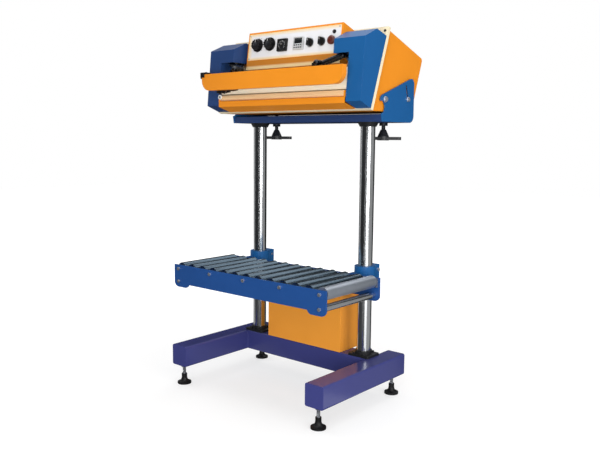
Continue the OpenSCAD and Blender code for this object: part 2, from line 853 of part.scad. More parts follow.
// One hand knob: three arms, a tapered hub, and the screw that the head rests on
module hand_knob(side) {
    arm_high = bracket_z - knob_drop - knob_hub_h;
    arm_low = arm_high - knob_arm_t;
    arm_root = 15;
    arm_round = 11;
    knob_turn = 20;
    hub_r = 24;
    lip = 2;
    screw_r = knob_screw_d / 2;
    nut_r = 1.1 * knob_screw_d;
    cone_r = 1.4 * screw_r;
    nut_high = bracket_z - running_gap;
    nut_low = nut_high - nut_h;
    top = head_under_z - running_gap;
    turned = [[0, arm_low - lip], [hub_r, arm_low - lip], [hub_r, arm_high + lip],
        [cone_r, bracket_z - knob_drop], [screw_r, bracket_z - knob_drop], [screw_r, nut_low],
        [nut_r, nut_low], [nut_r, nut_high], [screw_r, nut_high], [screw_r, top], [0, top]];
    translate([side * column_x, knob_y, 0]) {
        rotate_extrude() polygon(turned);
        translate([0, 0, arm_low]) linear_extrude(height = knob_arm_t)
            for (a = [knob_turn:120:knob_turn + 240])
                rotate(a) rounded_outline([[0, 0, arm_root], [knob_reach - arm_round, 0, arm_round]]);
    }
}

module left_hand_knob() {
    color(black) placed() hand_knob(-1);
}

module right_hand_knob() {
    color(black) placed() hand_knob(1);
}

// Outline of a table side plate with its two end lobes
module plate_outline() {
    half = table_w / 2;
    low = plate_z - plate_h;
    translate([-half, low]) square([table_w, plate_h]);
    for (side = [-1, 1])
        translate([side * (half - lobe_len / 2), low])
            rounded_outline(box_corners(-lobe_len / 2, lobe_len / 2, -lobe_drop, lobe_round + lobe_drop,
                lobe_round));
}

// Places of the bolts of a side plate, as [x, z]: into every third axle and into the two ties
bolt_places = concat([for (i = bolted_axles) [roller_x(i), roller_z]],
    [for (side = [-1, 1]) [side * tie_x, tie_z]]);

// One side plate, from y0 to y1
module side_plate(y0, y1) {
    difference() {
        facing(y0, y1) plate_outline();
        for (p = bolt_places) bar_y(bolt_d + 2 * fit, y0 - over, y1 + over, p[0], p[1]);
    }
}

module front_side_plate() {
    color(frame_blue) placed() side_plate(plate_front_y, front_inner_y);
}

module rear_side_plate() {
    color(frame_blue) placed() side_plate(rear_inner_y, plate_back_y);
}

function roller_x(i) = (i - (roller_count - 1) / 2) * roller_pitch;

// A carrier bar with the rollers' bores, from y0 to y1
module roller_carrier(y0, y1) {
    difference() {
        translate([-table_w / 2 + plate_t, y0, carrier_low_z])
            cube([table_w - 2 * plate_t, y1 - y0, carrier_h]);
        for (i = [0:roller_count - 1]) bar_y(axle_d + 2 * fit, y0 - over, y1 + over, roller_x(i), roller_z);
    }
}

module roller_carriers() {
    color(steel) placed() {
        roller_carrier(front_inner_y, front_inner_y + carrier_t);
        roller_carrier(rear_inner_y - carrier_t, rear_inner_y);
    }
}

// The rollers' fixed axles, every third one tapped at both ends for a bolt
module roller_axles() {
    color(steel) placed() difference() {
        for (i = [0:roller_count - 1]) bar_y(axle_d, front_inner_y, rear_inner_y, roller_x(i), roller_z);
        for (i = bolted_axles) {
            bar_y(bolt_d + 2 * fit, front_inner_y - over, front_inner_y + bolt_grip, roller_x(i), roller_z);
            bar_y(bolt_d + 2 * fit, rear_inner_y - bolt_grip, rear_inner_y + over, roller_x(i), roller_z);
        }
    }
}

// Bolts of the front side plate, with their heads in front of y = 0
module plate_bolts() {
    for (p = bolt_places) {
        translate([p[0], 0, p[1]]) rotate([-90, 0, 0]) cylinder(d = bolt_d, h = plate_t + bolt_grip);
        translate([p[0], 0, p[1]]) rotate([90, 0, 0]) hexagon(bolt_af, bolt_head_h);
    }
}

module table_bolts() {
    ear_in = column_x - clamp_ear_w / 2;
    ear_out = column_x + clamp_ear_w / 2;
    color(steel) placed() {
        translate([0, plate_front_y, 0]) plate_bolts();
        translate([0, plate_back_y, 0]) mirror([0, 1, 0]) plate_bolts();
        both_sides() for (z = clamp_bolt_zs) {
            bar_x(clamp_bolt_d, ear_in, ear_out + over, clamp_bolt_y, z);
            translate([ear_out, clamp_bolt_y, z]) rotate([0, 90, 0]) hexagon(bolt_af, bolt_head_h);
        }
    }
}

module table_ties() {
    color(steel) placed() difference() {
        both_sides() bar_y(tie_d, front_inner_y, rear_inner_y, tie_x, tie_z);
        both_sides() {
            bar_y(bolt_d + 2 * fit, front_inner_y - over, front_inner_y + bolt_grip, tie_x, tie_z);
            bar_y(bolt_d + 2 * fit, rear_inner_y - bolt_grip, rear_inner_y + over, tie_x, tie_z);
        }
    }
}

module table_clamps() {
    color(cover_blue) placed() both_sides() difference() {
        union() {
            translate([column_x, 0, clamp_z]) cylinder(d = clamp_d, h = clamp_h);
            translate([column_x - clamp_foot_w / 2, plate_back_y, clamp_z])
                cube([clamp_foot_w, table_setback, clamp_h - clamp_rise]);
            translate([column_x - clamp_ear_w / 2, 0, clamp_z]) cube([clamp_ear_w, clamp_ear_reach, clamp_h]);
        }
        translate([column_x, 0, clamp_z - over]) cylinder(d = column_d + 2 * fit, h = clamp_h + 2 * over);
        translate([column_x - clamp_slit / 2, 0, clamp_z - over])
            cube([clamp_slit, clamp_ear_reach + over, clamp_h + 2 * over]);
        for (z = clamp_bolt_zs)
            bar_x(clamp_bolt_d + 2 * fit, column_x - clamp_ear_w / 2 - over,
                column_x + clamp_ear_w / 2 + over, clamp_bolt_y, z);
    }
}

// One table roller: a tube whose end discs turn on its axle
module roller(i) {
    y0 = front_inner_y + carrier_t + roller_end_gap;
    y1 = rear_inner_y - carrier_t - roller_end_gap;
    disc_t = 4 * roller_wall;
    color(steel) placed() difference() {
        bar_y(roller_d, y0, y1, roller_x(i), roller_z);
        bar_y(roller_d - 2 * roller_wall, y0 + disc_t, y1 - disc_t, roller_x(i), roller_z);
        bar_y(axle_d + 2 * fit, y0 - over, y1 + over, roller_x(i), roller_z);
    }
}

// Corner circles of the head shell's side outline, moved in by d, with its open front at front
function shell_corners(d, front) =
    let (
        r = head_round - d,
        back = head_back - head_round
    )
    [[front + edge_round, under_at(front + edge_round, d + edge_round), edge_round],
        [back, under_at(back, head_round), r],
        [back, head_top - head_round, r],
        [front + edge_round, head_top - d - edge_round, edge_round]];

module head_shell() {
    vent_low = head_top / 3;
    color(orange) placed() difference() {
        union() {
            difference() {
                tilted() across(-head_w / 2, head_w / 2) rounded_outline(shell_corners(0, -head_front));
                tilted() across(-head_w / 2 + shell_t, head_w / 2 - shell_t)
                    rounded_outline(shell_corners(shell_t, -head_front - 2 * edge_round - over));
            }
            both_sides() {
                bar_x(2 * pivot_bolt_d, head_w / 2 - over, ear_x - running_gap, pivot_y, pivot_z);
                bar_x(2 * lock_bolt_d, head_w / 2 - over, ear_x - running_gap, lock_y, lock_z);
            }
        }
        both_sides() {
            bar_x(pivot_bolt_d + 2 * fit, head_w / 2 - shell_t - over, ear_x, pivot_y, pivot_z);
            bar_x(lock_bolt_d + 2 * fit, head_w / 2 - shell_t - over, ear_x, lock_y, lock_z);
            tilted() for (i = [0:vent_count - 1])
                translate([head_w / 4 - vent_w / 2, head_back - shell_t - over, vent_low + i * vent_pitch])
                    cube([vent_w, shell_t + 2 * over, vent_h]);
        }
    }
}

module head_front_pan() {
    low = under_at(-head_front, 0);
    color(cream) placed() difference() {
        tilted() translate([-cover_out, pan_front, low]) cube([2 * cover_out, pan_t, head_top - low]);
        tilted() translate([-head_w / 2 + shell_t, pan_front + shell_t, low + shell_t])
            cube([head_w - 2 * shell_t, pan_t, head_top - low - 2 * shell_t]);
        both_sides()
            bar_y(cylinder_d + 2 * fit, cylinder_y, cylinder_y + cylinder_len, arm_head_x, arm_high_z);
    }
}

// Side outline of an end cover, with its rear edge moved back past the pan by past
function cover_side(past) = [
    [pivot_y - nose_reach, pivot_z + nose_z],
    tilt_point([pan_seat + past, cover_pan_low]),
    tilt_point([pan_seat + past, cover_pan_high]),
    [pivot_y - ridge_reach, pivot_z + ridge_z],
    [pivot_y - brow_reach, pivot_z + brow_z]];

// Front outline of an end cover, a leg and a head around the notch
function cover_front() = [
    [cover_leg, pivot_z - head_top],
    [cover_out, pivot_z - head_top],
    [cover_out, pivot_z + 2 * head_top],
    [cover_in, pivot_z + 2 * head_top],
    [cover_in, pivot_z + notch_z],
    [cover_leg, pivot_z + notch_z]];

// One end cover, on the right: a sheet shell that is open at its back and under its head
module end_cover() {
    front = pivot_y - 2 * nose_reach;
    back = pivot_y + head_back;
    window_y = arm_high_y - arm_d / 2 - window_lip;
    window_z = pivot_z + notch_z - over;
    difference() {
        intersection() {
            across(cover_in, cover_out) polygon(cover_side(0));
            facing(front, back) polygon(cover_front());
        }
        intersection() {
            across(cover_in, cover_out) polygon(inset(cover_side(4 * cover_t), cover_t));
            facing(front, back) polygon(inset(cover_front(), cover_t));
        }
        translate([cover_in + cover_t, window_y, window_z])
            cube([cover_leg - cover_in - cover_t, back - window_y, cover_t + 2 * over]);
    }
}

module left_cover() {
    color(cover_blue) placed() mirror([1, 0, 0]) end_cover();
}

module right_cover() {
    color(cover_blue) placed() end_cover();
}

module control_box() {
    side = [box_low, [pan_y(box_low[1]), box_low[1]], tilt_point([pan_seat, head_top - box_step]), box_top];
    hole_d = box_h / 5;
    color(orange) placed() difference() {
        across(-box_w / 2, box_w / 2) polygon(side);
        across(-box_w / 2 + box_t, box_w / 2 - box_t) polygon(inset(side, box_t));
        bar_y(hole_d, pivot_y - box_d / 2, pivot_y + box_d, 0, (box_low[1] + box_top[1]) / 2);
        on_front() at_shafts(-over, box_t + over);
    }
}

// Bores for the shafts of the turning controls and the stem of the stop button
module at_shafts(y0, y1) {
    for (x = [dial_x, dial_x + dial_pitch]) bar_y(shaft_d + 2 * fit, y0, y1, x, dial_up);
    for (x = [selector_x, selector_x + selector_pitch]) bar_y(shaft_d + 2 * fit, y0, y1, x, control_up);
    bar_y(stop_d / 2 + 2 * fit, y0, y1, stop_x, control_up);
}

module control_panel() {
    half = box_w / 2 - panel_margin;
    color(white) placed() on_front() difference() {
        facing(panel_y, -seat_gap)
            rounded_outline(box_corners(-half, half, panel_low, panel_low + panel_h, edge_round));
        at_shafts(panel_y - over, over);
    }
}

// A frame around a recessed window, on the panel's face
module meter(x, low, high) {
    difference() {
        facing(panel_y - meter_h, panel_y)
            rounded_outline(box_corners(x - meter_w / 2, x + meter_w / 2, control_up - meter_w / 2,
                control_up + meter_w / 2, edge_round));
        translate([x - meter_w / 2 + meter_rim, panel_y - meter_h - over, control_up + low])
            cube([meter_w - 2 * meter_rim, over + meter_recess, high - low]);
    }
}

module panel_meters() {
    window = meter_w / 2 - meter_rim;
    color(black) placed() on_front() {
        meter(timer_x, -window, window);
        meter(counter_x, 0, window);
        bar_y(lamp_d, panel_y - lamp_d / 2, panel_y, stop_x + lamp_d / 2, control_up + lamp_rise);
    }
}

// A fluted dial with a skirt, and its shaft through the panel
module dial(x) {
    skirt_h = dial_h / 4;
    grip_d = dial_d * 0.78;
    flutes = 12;
    flute_r = 4;
    flute_out = 1.5;
    foot = panel_y - running_gap;
    translate([x, 0, dial_up]) {
        bar_y(dial_d, foot - skirt_h, foot, 0, 0);
        bar_y(shaft_d, foot - over, box_t, 0, 0);
        facing(foot - dial_h, foot - skirt_h) difference() {
            circle(d = grip_d);
            for (i = [0:flutes - 1])
                rotate(i * 360 / flutes) translate([grip_d / 2 + flute_out, 0]) circle(r = flute_r);
        }
    }
}

module heat_dial() {
    color(black) placed() on_front() dial(dial_x);
}

module cool_dial() {
    color(black) placed() on_front() dial(dial_x + dial_pitch);
}

// A selector knob with a raised grip, and its shaft through the panel
module selector(x) {
    foot = panel_y - running_gap;
    base_h = 8;
    grip_h = 20;
    grip_w = selector_d / 3;
    grip_round = 2;
    translate([x, 0, control_up]) {
        bar_y(selector_d, foot - base_h, foot, 0, 0);
        bar_y(shaft_d, foot - over, box_t, 0, 0);
        facing(foot - grip_h, foot - base_h)
            rounded_outline(box_corners(-grip_w / 2, grip_w / 2, -selector_d / 2, selector_d / 2,
                grip_round));
    }
}

module left_selector() {
    color(black) placed() on_front() selector(selector_x);
}

module right_selector() {
    color(black) placed() on_front() selector(selector_x + selector_pitch);
}

module stop_button() {
    cap_h = 10;
    spare = 1;
    cap_y = panel_y - stop_travel - spare;
    color(red) placed() on_front() translate([stop_x, 0, control_up]) {
        bar_y(stop_d / 2, cap_y - over, 0, 0, 0);
        bar_y(stop_d, cap_y - cap_h / 2, cap_y, 0, 0);
        translate([0, cap_y - cap_h / 2, 0]) rotate([90, 0, 0])
            cylinder(d1 = stop_d, d2 = stop_d * 0.7, h = cap_h / 2);
    }
}

module rear_jaw_bar() {
    top = rear_low_z + rear_jaw_h;
    back = rear_bar_y + rear_jaw_t;
    web_low = rear_low_z + (rear_jaw_h - rear_web_t) / 2;
    web_high = web_low + rear_web_t;
    section = [[rear_bar_y, rear_low_z], [back, rear_low_z], [back, web_low], [pan_y(web_low), web_low],
        [pan_y(web_high), web_high], [back, web_high], [back, top], [rear_bar_y, top]];
    color(steel) placed() across(-rear_jaw_w / 2, rear_jaw_w / 2) polygon(section);
}

module rear_seal_strip() {
    color(cream) placed()
        translate([-rear_jaw_w / 2, seal_y, rear_low_z + seal_margin])
        cube([rear_jaw_w, seal_t, rear_jaw_h - 2 * seal_margin]);
}

module cloth_roll() {
    half = rear_jaw_w / 2 - cheek_t;
    color(tan_cloth) placed() {
        bar_x(roll_d, -half + roll_gap, half - roll_gap, roll_y, roll_z);
        bar_x(spindle_d, -half - cheek_t, half + cheek_t, roll_y, roll_z);
    }
}

module lower_front_cover() {
    front = pivot_y - lower_reach;
    low = lower_top_z - lower_h;
    hem = head_under_z + hem_rise;
    half = rear_jaw_w / 2;
    side = [[front, low], [pan_y(hem), hem], [pan_y(lower_top_z), lower_top_z], [front, lower_top_z]];
    cheek_top = roll_z + roll_d / 2 - cheek_drop;
    color(orange) placed() difference() {
        union() {
            difference() {
                across(-half, half) polygon(side);
                across(-half - over, half + over) polygon(inset(side, lower_t));
            }
            both_sides() translate([half - cheek_t, front, lower_top_z - over])
                cube([cheek_t, roll_d, cheek_top - lower_top_z + over]);
        }
        bar_x(spindle_d + 2 * fit, -half - over, half + over, roll_y, roll_z);
    }
}

module air_cylinders() {
    color(steel) placed() both_sides() difference() {
        bar_y(cylinder_d, cylinder_y, cylinder_y + cylinder_len, arm_head_x, arm_high_z);
        bar_y(rod_d + 2 * fit, cylinder_y - over, cylinder_y + jaw_stroke + rod_len / 2, arm_head_x,
            arm_high_z);
    }
}

// Outline of the front jaw cover, moved in by d
module jaw_cover_outline(d) {
    half = rear_jaw_w / 2 + front_jaw_lap - d;
    low_x = half - jaw_cover_round + d;
    top_z = front_low_z + front_jaw_h - d;
    intersection() {
        translate([-half, front_low_z]) square([2 * half, top_z - front_low_z]);
        rounded_outline([
            [-low_x, front_low_z + jaw_cover_round, jaw_cover_round - d],
            [low_x, front_low_z + jaw_cover_round, jaw_cover_round - d],
            [half - edge_round, top_z - edge_round, edge_round],
            [-half + edge_round, top_z - edge_round, edge_round]]);
    }
}

module front_jaw_cover() {
    color(orange) placed() difference() {
        facing(jaw_cover_y, jaw_cover_back_y) jaw_cover_outline(0);
        facing(jaw_cover_y + jaw_cover_t, jaw_cover_back_y + over) jaw_cover_outline(jaw_cover_t);
    }
}

module front_jaw_bar() {
    half = rear_jaw_w / 2 - cheek_t;
    spacer_d = 20;
    mid_z = front_bar_low_z + front_bar_h / 2;
    color(steel) placed() {
        translate([-half, front_bar_y, front_bar_low_z]) cube([2 * half, front_bar_d, front_bar_h]);
        for (x = [-spacer_pitch, 0, spacer_pitch])
            bar_y(spacer_d, jaw_cover_y + jaw_cover_t, front_bar_y + over, x, mid_z);
    }
}

module heating_strip() {
    half = rear_jaw_w / 2 - 2 * cheek_t;
    mid_z = front_bar_low_z + front_bar_h / 2;
    color(tan_cloth) placed()
        translate([-half, heater_y - heater_t, mid_z - heater_h / 2])
        cube([2 * half, heater_t, heater_h]);
}

// A jaw arm, on the right: its foot on the jaw bar, the run over the rear jaw, the slope and the piston rod
module jaw_arm() {
    foot = [arm_jaw_x, arm_foot_y, arm_low_z];
    low = [arm_jaw_x, arm_low_y, arm_low_z];
    high = [arm_head_x, arm_high_y, arm_high_z];
    translate([arm_jaw_x - arm_foot_w / 2, arm_foot_y - arm_foot_d / 2, front_bar_top_z])
        cube([arm_foot_w, arm_foot_d, arm_low_z - front_bar_top_z]);
    bar_y(arm_d, arm_foot_y, arm_low_y, arm_jaw_x, arm_low_z);
    bar_between(high, low, arm_d);
    for (p = [foot, low, high]) translate(p) sphere(d = arm_d + elbow_swell);
    bar_y(rod_d, arm_high_y, arm_high_y + rod_len, arm_head_x, arm_high_z);
}

module jaw_arms() {
    color(black) placed() both_sides() jaw_arm();
}

left_foot_beam();
right_foot_beam();
cross_beam();
levelling_pads();
levelling_screws();
left_column();
right_column();
column_base_flanges();
flange_bolts();
column_top_collars();
bracket_tray();
left_ear();
right_ear();
pivot_bolts();
cabinet_shell();
cabinet_rear_cover();
left_hand_knob();
right_hand_knob();
front_side_plate();
rear_side_plate();
roller_carriers();
roller_axles();
table_bolts();
table_ties();
table_clamps();
head_shell();
head_front_pan();
left_cover();
right_cover();
control_box();
control_panel();
panel_meters();
heat_dial();
cool_dial();
left_selector();
right_selector();
stop_button();
rear_jaw_bar();
rear_seal_strip();
cloth_roll();
lower_front_cover();
air_cylinders();
tilt_lock_bolts();
front_jaw_cover();
front_jaw_bar();
heating_strip();
jaw_arms();
for (i = [0:roller_count - 1]) roller(i);
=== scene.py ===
import math

import bmesh
import bpy
from mathutils import Matrix, Vector

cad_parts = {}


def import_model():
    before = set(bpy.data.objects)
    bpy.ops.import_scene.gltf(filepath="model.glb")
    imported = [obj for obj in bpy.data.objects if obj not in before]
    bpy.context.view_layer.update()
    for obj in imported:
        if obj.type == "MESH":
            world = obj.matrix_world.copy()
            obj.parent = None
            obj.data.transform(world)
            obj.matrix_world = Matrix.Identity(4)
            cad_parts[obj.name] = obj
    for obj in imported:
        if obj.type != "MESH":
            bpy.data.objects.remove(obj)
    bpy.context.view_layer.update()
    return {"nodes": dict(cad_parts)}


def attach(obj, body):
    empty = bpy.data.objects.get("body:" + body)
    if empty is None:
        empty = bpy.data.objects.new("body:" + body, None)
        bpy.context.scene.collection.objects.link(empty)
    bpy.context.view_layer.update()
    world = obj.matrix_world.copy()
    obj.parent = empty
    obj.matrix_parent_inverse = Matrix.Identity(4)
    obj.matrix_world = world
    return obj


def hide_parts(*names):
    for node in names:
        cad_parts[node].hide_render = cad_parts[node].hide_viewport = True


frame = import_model()
nodes = frame["nodes"]
scene = bpy.context.scene
scene.view_settings.view_transform = "Standard"


def linear(r, g, b):
    """An 8-bit screen colour as the linear colour that shows as it."""
    def one(v):
        v = v / 255
        return v / 12.92 if v <= 0.04045 else ((v + 0.055) / 1.055) ** 2.4
    return (one(r), one(g), one(b), 1.0)


# Camera at the photograph's place and angle
PICTURE_PX = 600
SENSOR_MM = 36
LENS_PX = 708.76
CLIP_END = 50
AZIMUTH, PITCH, ROLL = math.radians(40.05), math.radians(6.81), math.radians(0.55)
EYE = Vector((1.95974, -2.30255, 1.07016))
forward = Vector((
    -math.sin(AZIMUTH) * math.cos(PITCH),
    math.cos(AZIMUTH) * math.cos(PITCH),
    -math.sin(PITCH)))
right = Vector((math.cos(AZIMUTH), math.sin(AZIMUTH), 0))
up = right.cross(forward)
side_axis = right * math.cos(ROLL) + up * math.sin(ROLL)
up_axis = up * math.cos(ROLL) - right * math.sin(ROLL)
camera = bpy.data.objects.new("camera", bpy.data.cameras.new("camera"))
camera.data.sensor_width = SENSOR_MM
camera.data.lens = LENS_PX * SENSOR_MM / PICTURE_PX
camera.data.clip_end = CLIP_END
camera.matrix_world = Matrix((
    (side_axis.x, up_axis.x, -forward.x, EYE.x),
    (side_axis.y, up_axis.y, -forward.y, EYE.y),
    (side_axis.z, up_axis.z, -forward.z, EYE.z),
    (0, 0, 0, 1)))
scene.collection.objects.link(camera)
scene.camera = camera


# Lengths of pieces are in millimetres in the machine frame, whose y = 0 is the column axis
MM = 0.001
SHIFT = 95.5355


def world(x, y, z):
    """A point of the machine frame, in metres in the shared frame."""
    return Vector((x * MM, (y + SHIFT) * MM, z * MM))


# The control box's front: its foot, the way up it and the way out of it
LEAN = math.radians(8)
UP_PANEL = Vector((0, math.sin(LEAN), math.cos(LEAN)))
OUT_PANEL = Vector((0, -math.cos(LEAN), math.sin(LEAN)))
PANEL_FOOT = world(0, -138.794, 1372.13)
FOOT_UP = PANEL_FOOT.dot(UP_PANEL)


# Node trees

WHITE = (1, 1, 1, 1)


class Tree:
    """A node tree with short calls to add and join nodes."""

    def __init__(self, tree):
        self.tree = tree
        tree.nodes.clear()

    def add(self, kind, **values):
        node = self.tree.nodes.new(kind)
        for key, value in values.items():
            setattr(node, key, value)
        return node

    def link(self, a, b):
        self.tree.links.new(a, b)

    def math(self, operation, a, b):
        node = self.add("ShaderNodeMath", operation=operation)
        for socket, value in zip(node.inputs, (a, b)):
            if isinstance(value, (int, float)):
                socket.default_value = value
            else:
                self.link(value, socket)
        return node.outputs[0]

    def seen_by_eye(self):
        """One where the camera, a mirror or glass looks, nought where diffuse light is gathered."""
        path = self.add("ShaderNodeLightPath")
        seen = self.math("MAXIMUM", path.outputs["Is Camera Ray"], path.outputs["Is Glossy Ray"])
        return self.math("MAXIMUM", seen, path.outputs["Is Transmission Ray"])


class Nodes(Tree):
    """A new material's node tree, with what the finishes need."""

    def __init__(self, name):
        self.material = bpy.data.materials.new(name)
        self.material.use_nodes = True
        super().__init__(self.material.node_tree)
        self.out = self.add("ShaderNodeOutputMaterial")
        self.shader = self.add("ShaderNodeBsdfPrincipled")
        self.link(self.shader.outputs[0], self.out.inputs["Surface"])
        self.place = self.add("ShaderNodeTexCoord").outputs["Object"]

    def axis(self, letter):
        """One of the object's own coordinates."""
        split = self.add("ShaderNodeSeparateXYZ")
        self.link(self.place, split.inputs[0])
        return split.outputs[letter]

    def dot(self, value, direction):
        node = self.add("ShaderNodeVectorMath", operation="DOT_PRODUCT")
        self.link(value, node.inputs[0])
        if isinstance(direction, Vector):
            node.inputs[1].default_value = direction
        else:
            self.link(direction, node.inputs[1])
        return node.outputs["Value"]

    def stretched(self, x, y, z):
        """The object's coordinates, drawn out differently along each axis."""
        node = self.add("ShaderNodeMapping")
        node.inputs["Scale"].default_value = (x, y, z)
        self.link(self.place, node.inputs["Vector"])
        return node.outputs[0]

    def noise(self, scale, detail=3, rough=0.5, at=None):
        node = self.add("ShaderNodeTexNoise")
        node.inputs["Scale"].default_value = scale
        node.inputs["Detail"].default_value = detail
        node.inputs["Roughness"].default_value = rough
        self.link(at or self.place, node.inputs["Vector"])
        return node.outputs["Fac"]

    def wave(self, scale, axis):
        node = self.add("ShaderNodeTexWave", bands_direction=axis)
        node.inputs["Scale"].default_value = scale
        self.link(self.place, node.inputs["Vector"])
        return node.outputs["Fac"]

    def spread(self, value, low, high, to_low, to_high):
        """A value between low and high, laid out between two others."""
        node = self.add("ShaderNodeMapRange")
        ends = {"From Min": low, "From Max": high, "To Min": to_low, "To Max": to_high}
        for key, number in ends.items():
            node.inputs[key].default_value = number
        self.link(value, node.inputs["Value"])
        return node.outputs[0]

    def varied(self, noise, low, high):
        """A noise as an even change from low to high."""
        return self.spread(noise, 0.3, 0.7, low, high)

    def mixed(self, factor, a, b):
        node = self.add("ShaderNodeMix", data_type="RGBA")
        self.link(factor, node.inputs["Factor"])
        for socket, value in ((node.inputs[6], a), (node.inputs[7], b)):
            if isinstance(value, tuple):
                socket.default_value = value
            else:
                self.link(value, socket)
        return node.outputs[2]

    def rounded(self, radius):
        """Normals as if the edges had that radius, and a mask of those edges."""
        bevel = self.add("ShaderNodeBevel", samples=6)
        bevel.inputs["Radius"].default_value = radius
        flat = self.add("ShaderNodeNewGeometry").outputs["Normal"]
        agreement = self.dot(bevel.outputs[0], flat)
        return bevel.outputs[0], self.spread(agreement, 0.9, 0.995, 1, 0)

    def bump(self, height, strength, distance, normal=None):
        node = self.add("ShaderNodeBump")
        node.inputs["Strength"].default_value = strength
        node.inputs["Distance"].default_value = distance
        self.link(height, node.inputs["Height"])
        if normal:
            self.link(normal, node.inputs["Normal"])
        return node.outputs[0]

    def set(self, **values):
        """Sets or links inputs of the shader, whose names have underscores for spaces here."""
        for key, value in values.items():
            socket = self.shader.inputs[key.replace("_", " ")]
            if isinstance(value, bpy.types.NodeSocket):
                self.link(value, socket)
            else:
                socket.default_value = value


# Finishes

def tinted(colour, factor):
    return tuple(min(1, c * factor) for c in colour[:3]) + (1.0,)


def paint(name, colour, rough=0.3, gloss=0.3, tone=0.05, wear=1.25, radius=0.0015, second=None):
    """Sprayed enamel: orange peel, a slow change of tone, and lighter rubbed edges."""
    n = Nodes(name)
    normal, edge = n.rounded(radius)
    patch = n.varied(n.noise(3.5, 4), 0, 1)
    body = n.mixed(patch, tinted(colour, 1 - tone), tinted(colour, 1 + tone))
    if second:
        body = second(n, body)
    rubbed = n.math("MULTIPLY", edge, n.spread(n.noise(45, 5, 0.65), 0.4, 0.62, 0.1, 0.75))
    n.set(Base_Color=n.mixed(rubbed, body, tinted(colour, wear)))
    n.set(Roughness=n.spread(n.noise(14, 3), 0.25, 0.75, rough - 0.02, rough + 0.03))
    n.set(Normal=n.bump(n.noise(420, 2), 0.12, 0.0004, normal))
    n.set(Specular_IOR_Level=gloss)
    return n.material


def plastic(name, colour, rough=0.42, strength=0.2, gloss=0.5):
    """Moulded plastic with a fine spark-eroded grain."""
    n = Nodes(name)
    normal, edge = n.rounded(0.0008)
    body = n.mixed(n.varied(n.noise(18, 3), 0, 1), tinted(colour, 0.9), tinted(colour, 1.12))
    n.set(Base_Color=n.mixed(n.math("MULTIPLY", edge, 0.4), body, tinted(colour, 1.7)))
    n.set(Roughness=n.varied(n.noise(60, 4), rough - 0.06, rough + 0.08))
    n.set(Normal=n.bump(n.noise(900, 2), strength, 0.0003, normal))
    n.set(Specular_IOR_Level=gloss)
    return n.material


def metal(name, colour, rough=0.3, along=(1, 1, 1), line_scale=180, strength=0.08, tone=0.08):
    """Metal with fine lines drawn out along the short stretch of its coordinates."""
    n = Nodes(name)
    normal, edge = n.rounded(0.0006)
    lines = n.noise(line_scale, 4, 0.6, n.stretched(*along))
    cloud = n.varied(n.noise(9, 4, 0.6), 0, 1)
    body = n.mixed(cloud, tinted(colour, 1 - tone), tinted(colour, 1 + tone))
    lit = n.mixed(n.math("MULTIPLY", edge, 0.5), body, tinted(colour, 1.3))
    n.set(Base_Color=lit, Metallic=1.0)
    n.set(Roughness=n.varied(lines, max(0.03, rough - 0.07), rough + 0.1))
    n.set(Normal=n.bump(lines, strength, 0.0002, normal))
    return n.material


def roller_metal(name, colour, rough):
    """Drawn tube, with its lines along the roller."""
    return metal(name, colour, rough, along=(1, 60, 1), line_scale=26, strength=0.15)


ORANGE = linear(242, 148, 34)
# A darker orange for the strip below the panel: painted shade, as if the panel above shaded it
SHADED_STRIP = linear(206, 132, 48)
PALE = linear(250, 222, 170)

# Heights up the control box's front, in metres
# The pale band at the strip's foot is a painted highlight of a bright edge
HIGHLIGHT_EDGE = (0.010, 0.018)
SHADED_STRIP_TOP = (0.038, 0.040)
BORDER_LOW = (0.042, 0.054)
BORDER_HIGH = (0.136, 0.150)
BORDER_LEFT = (-0.246, -0.224)


def height_up_front(n):
    """Height in metres above the foot of the control box, along its front."""
    return n.math("SUBTRACT", n.dot(n.place, UP_PANEL), FOOT_UP)


def shade_strip_below_panel(n, body):
    """The control box's front gets a darker strip below the panel, which is painted shade, with a pale
    lower edge, which is a painted highlight.
    """
    facing = n.dot(n.add("ShaderNodeTexCoord").outputs["Normal"], OUT_PANEL)
    front = n.math("GREATER_THAN", facing, 0.9)
    height = height_up_front(n)
    strip = n.mixed(n.spread(height, *HIGHLIGHT_EDGE, 0, 1), PALE, SHADED_STRIP)
    return n.mixed(front, body, n.mixed(n.spread(height, *SHADED_STRIP_TOP, 0, 1), strip, body))


def cream_border(n, body):
    """The panel turns from cream at its left, upper and lower edges to white."""
    height = height_up_front(n)
    left = n.spread(n.axis("X"), *BORDER_LEFT, 1, 0)
    high = n.spread(height, *BORDER_HIGH, 0, 1)
    low = n.spread(height, *BORDER_LOW, 1, 0)
    return n.mixed(n.math("MAXIMUM", left, n.math("MAXIMUM", high, low)), body, PALE)


def threaded_steel():
    n = Nodes("threaded_steel")
    turns = n.wave(160, "Z")
    n.set(Base_Color=n.mixed(turns, linear(170, 174, 180), linear(232, 235, 240)), Metallic=1.0)
    n.set(Roughness=n.varied(n.noise(60, 4), 0.4, 0.55))
    n.set(Normal=n.bump(turns, 0.9, 0.0012))
    return n.material


KNOB_TOP = 1.1182


def knob_and_screw():
    """Black plastic below the hub's top, a dark threaded screw above it."""
    n = Nodes("knob_plastic_and_screw")
    normal, _ = n.rounded(0.0015)
    screw_part = n.math("GREATER_THAN", n.axis("Z"), KNOB_TOP)
    turns = n.wave(120, "Z")
    plain = n.mixed(n.noise(20), linear(22, 23, 25), linear(36, 37, 40))
    thread = n.mixed(turns, linear(48, 50, 54), linear(84, 86, 90))
    n.set(Base_Color=n.mixed(screw_part, plain, thread), Metallic=screw_part)
    n.set(Roughness=n.spread(screw_part, 0, 1, 0.38, 0.3))
    grain = n.math("MULTIPLY", n.noise(700), 0.12)
    height = n.math("ADD", n.math("MULTIPLY", turns, screw_part), grain)
    n.set(Normal=n.bump(height, 0.5, 0.001, normal))
    return n.material


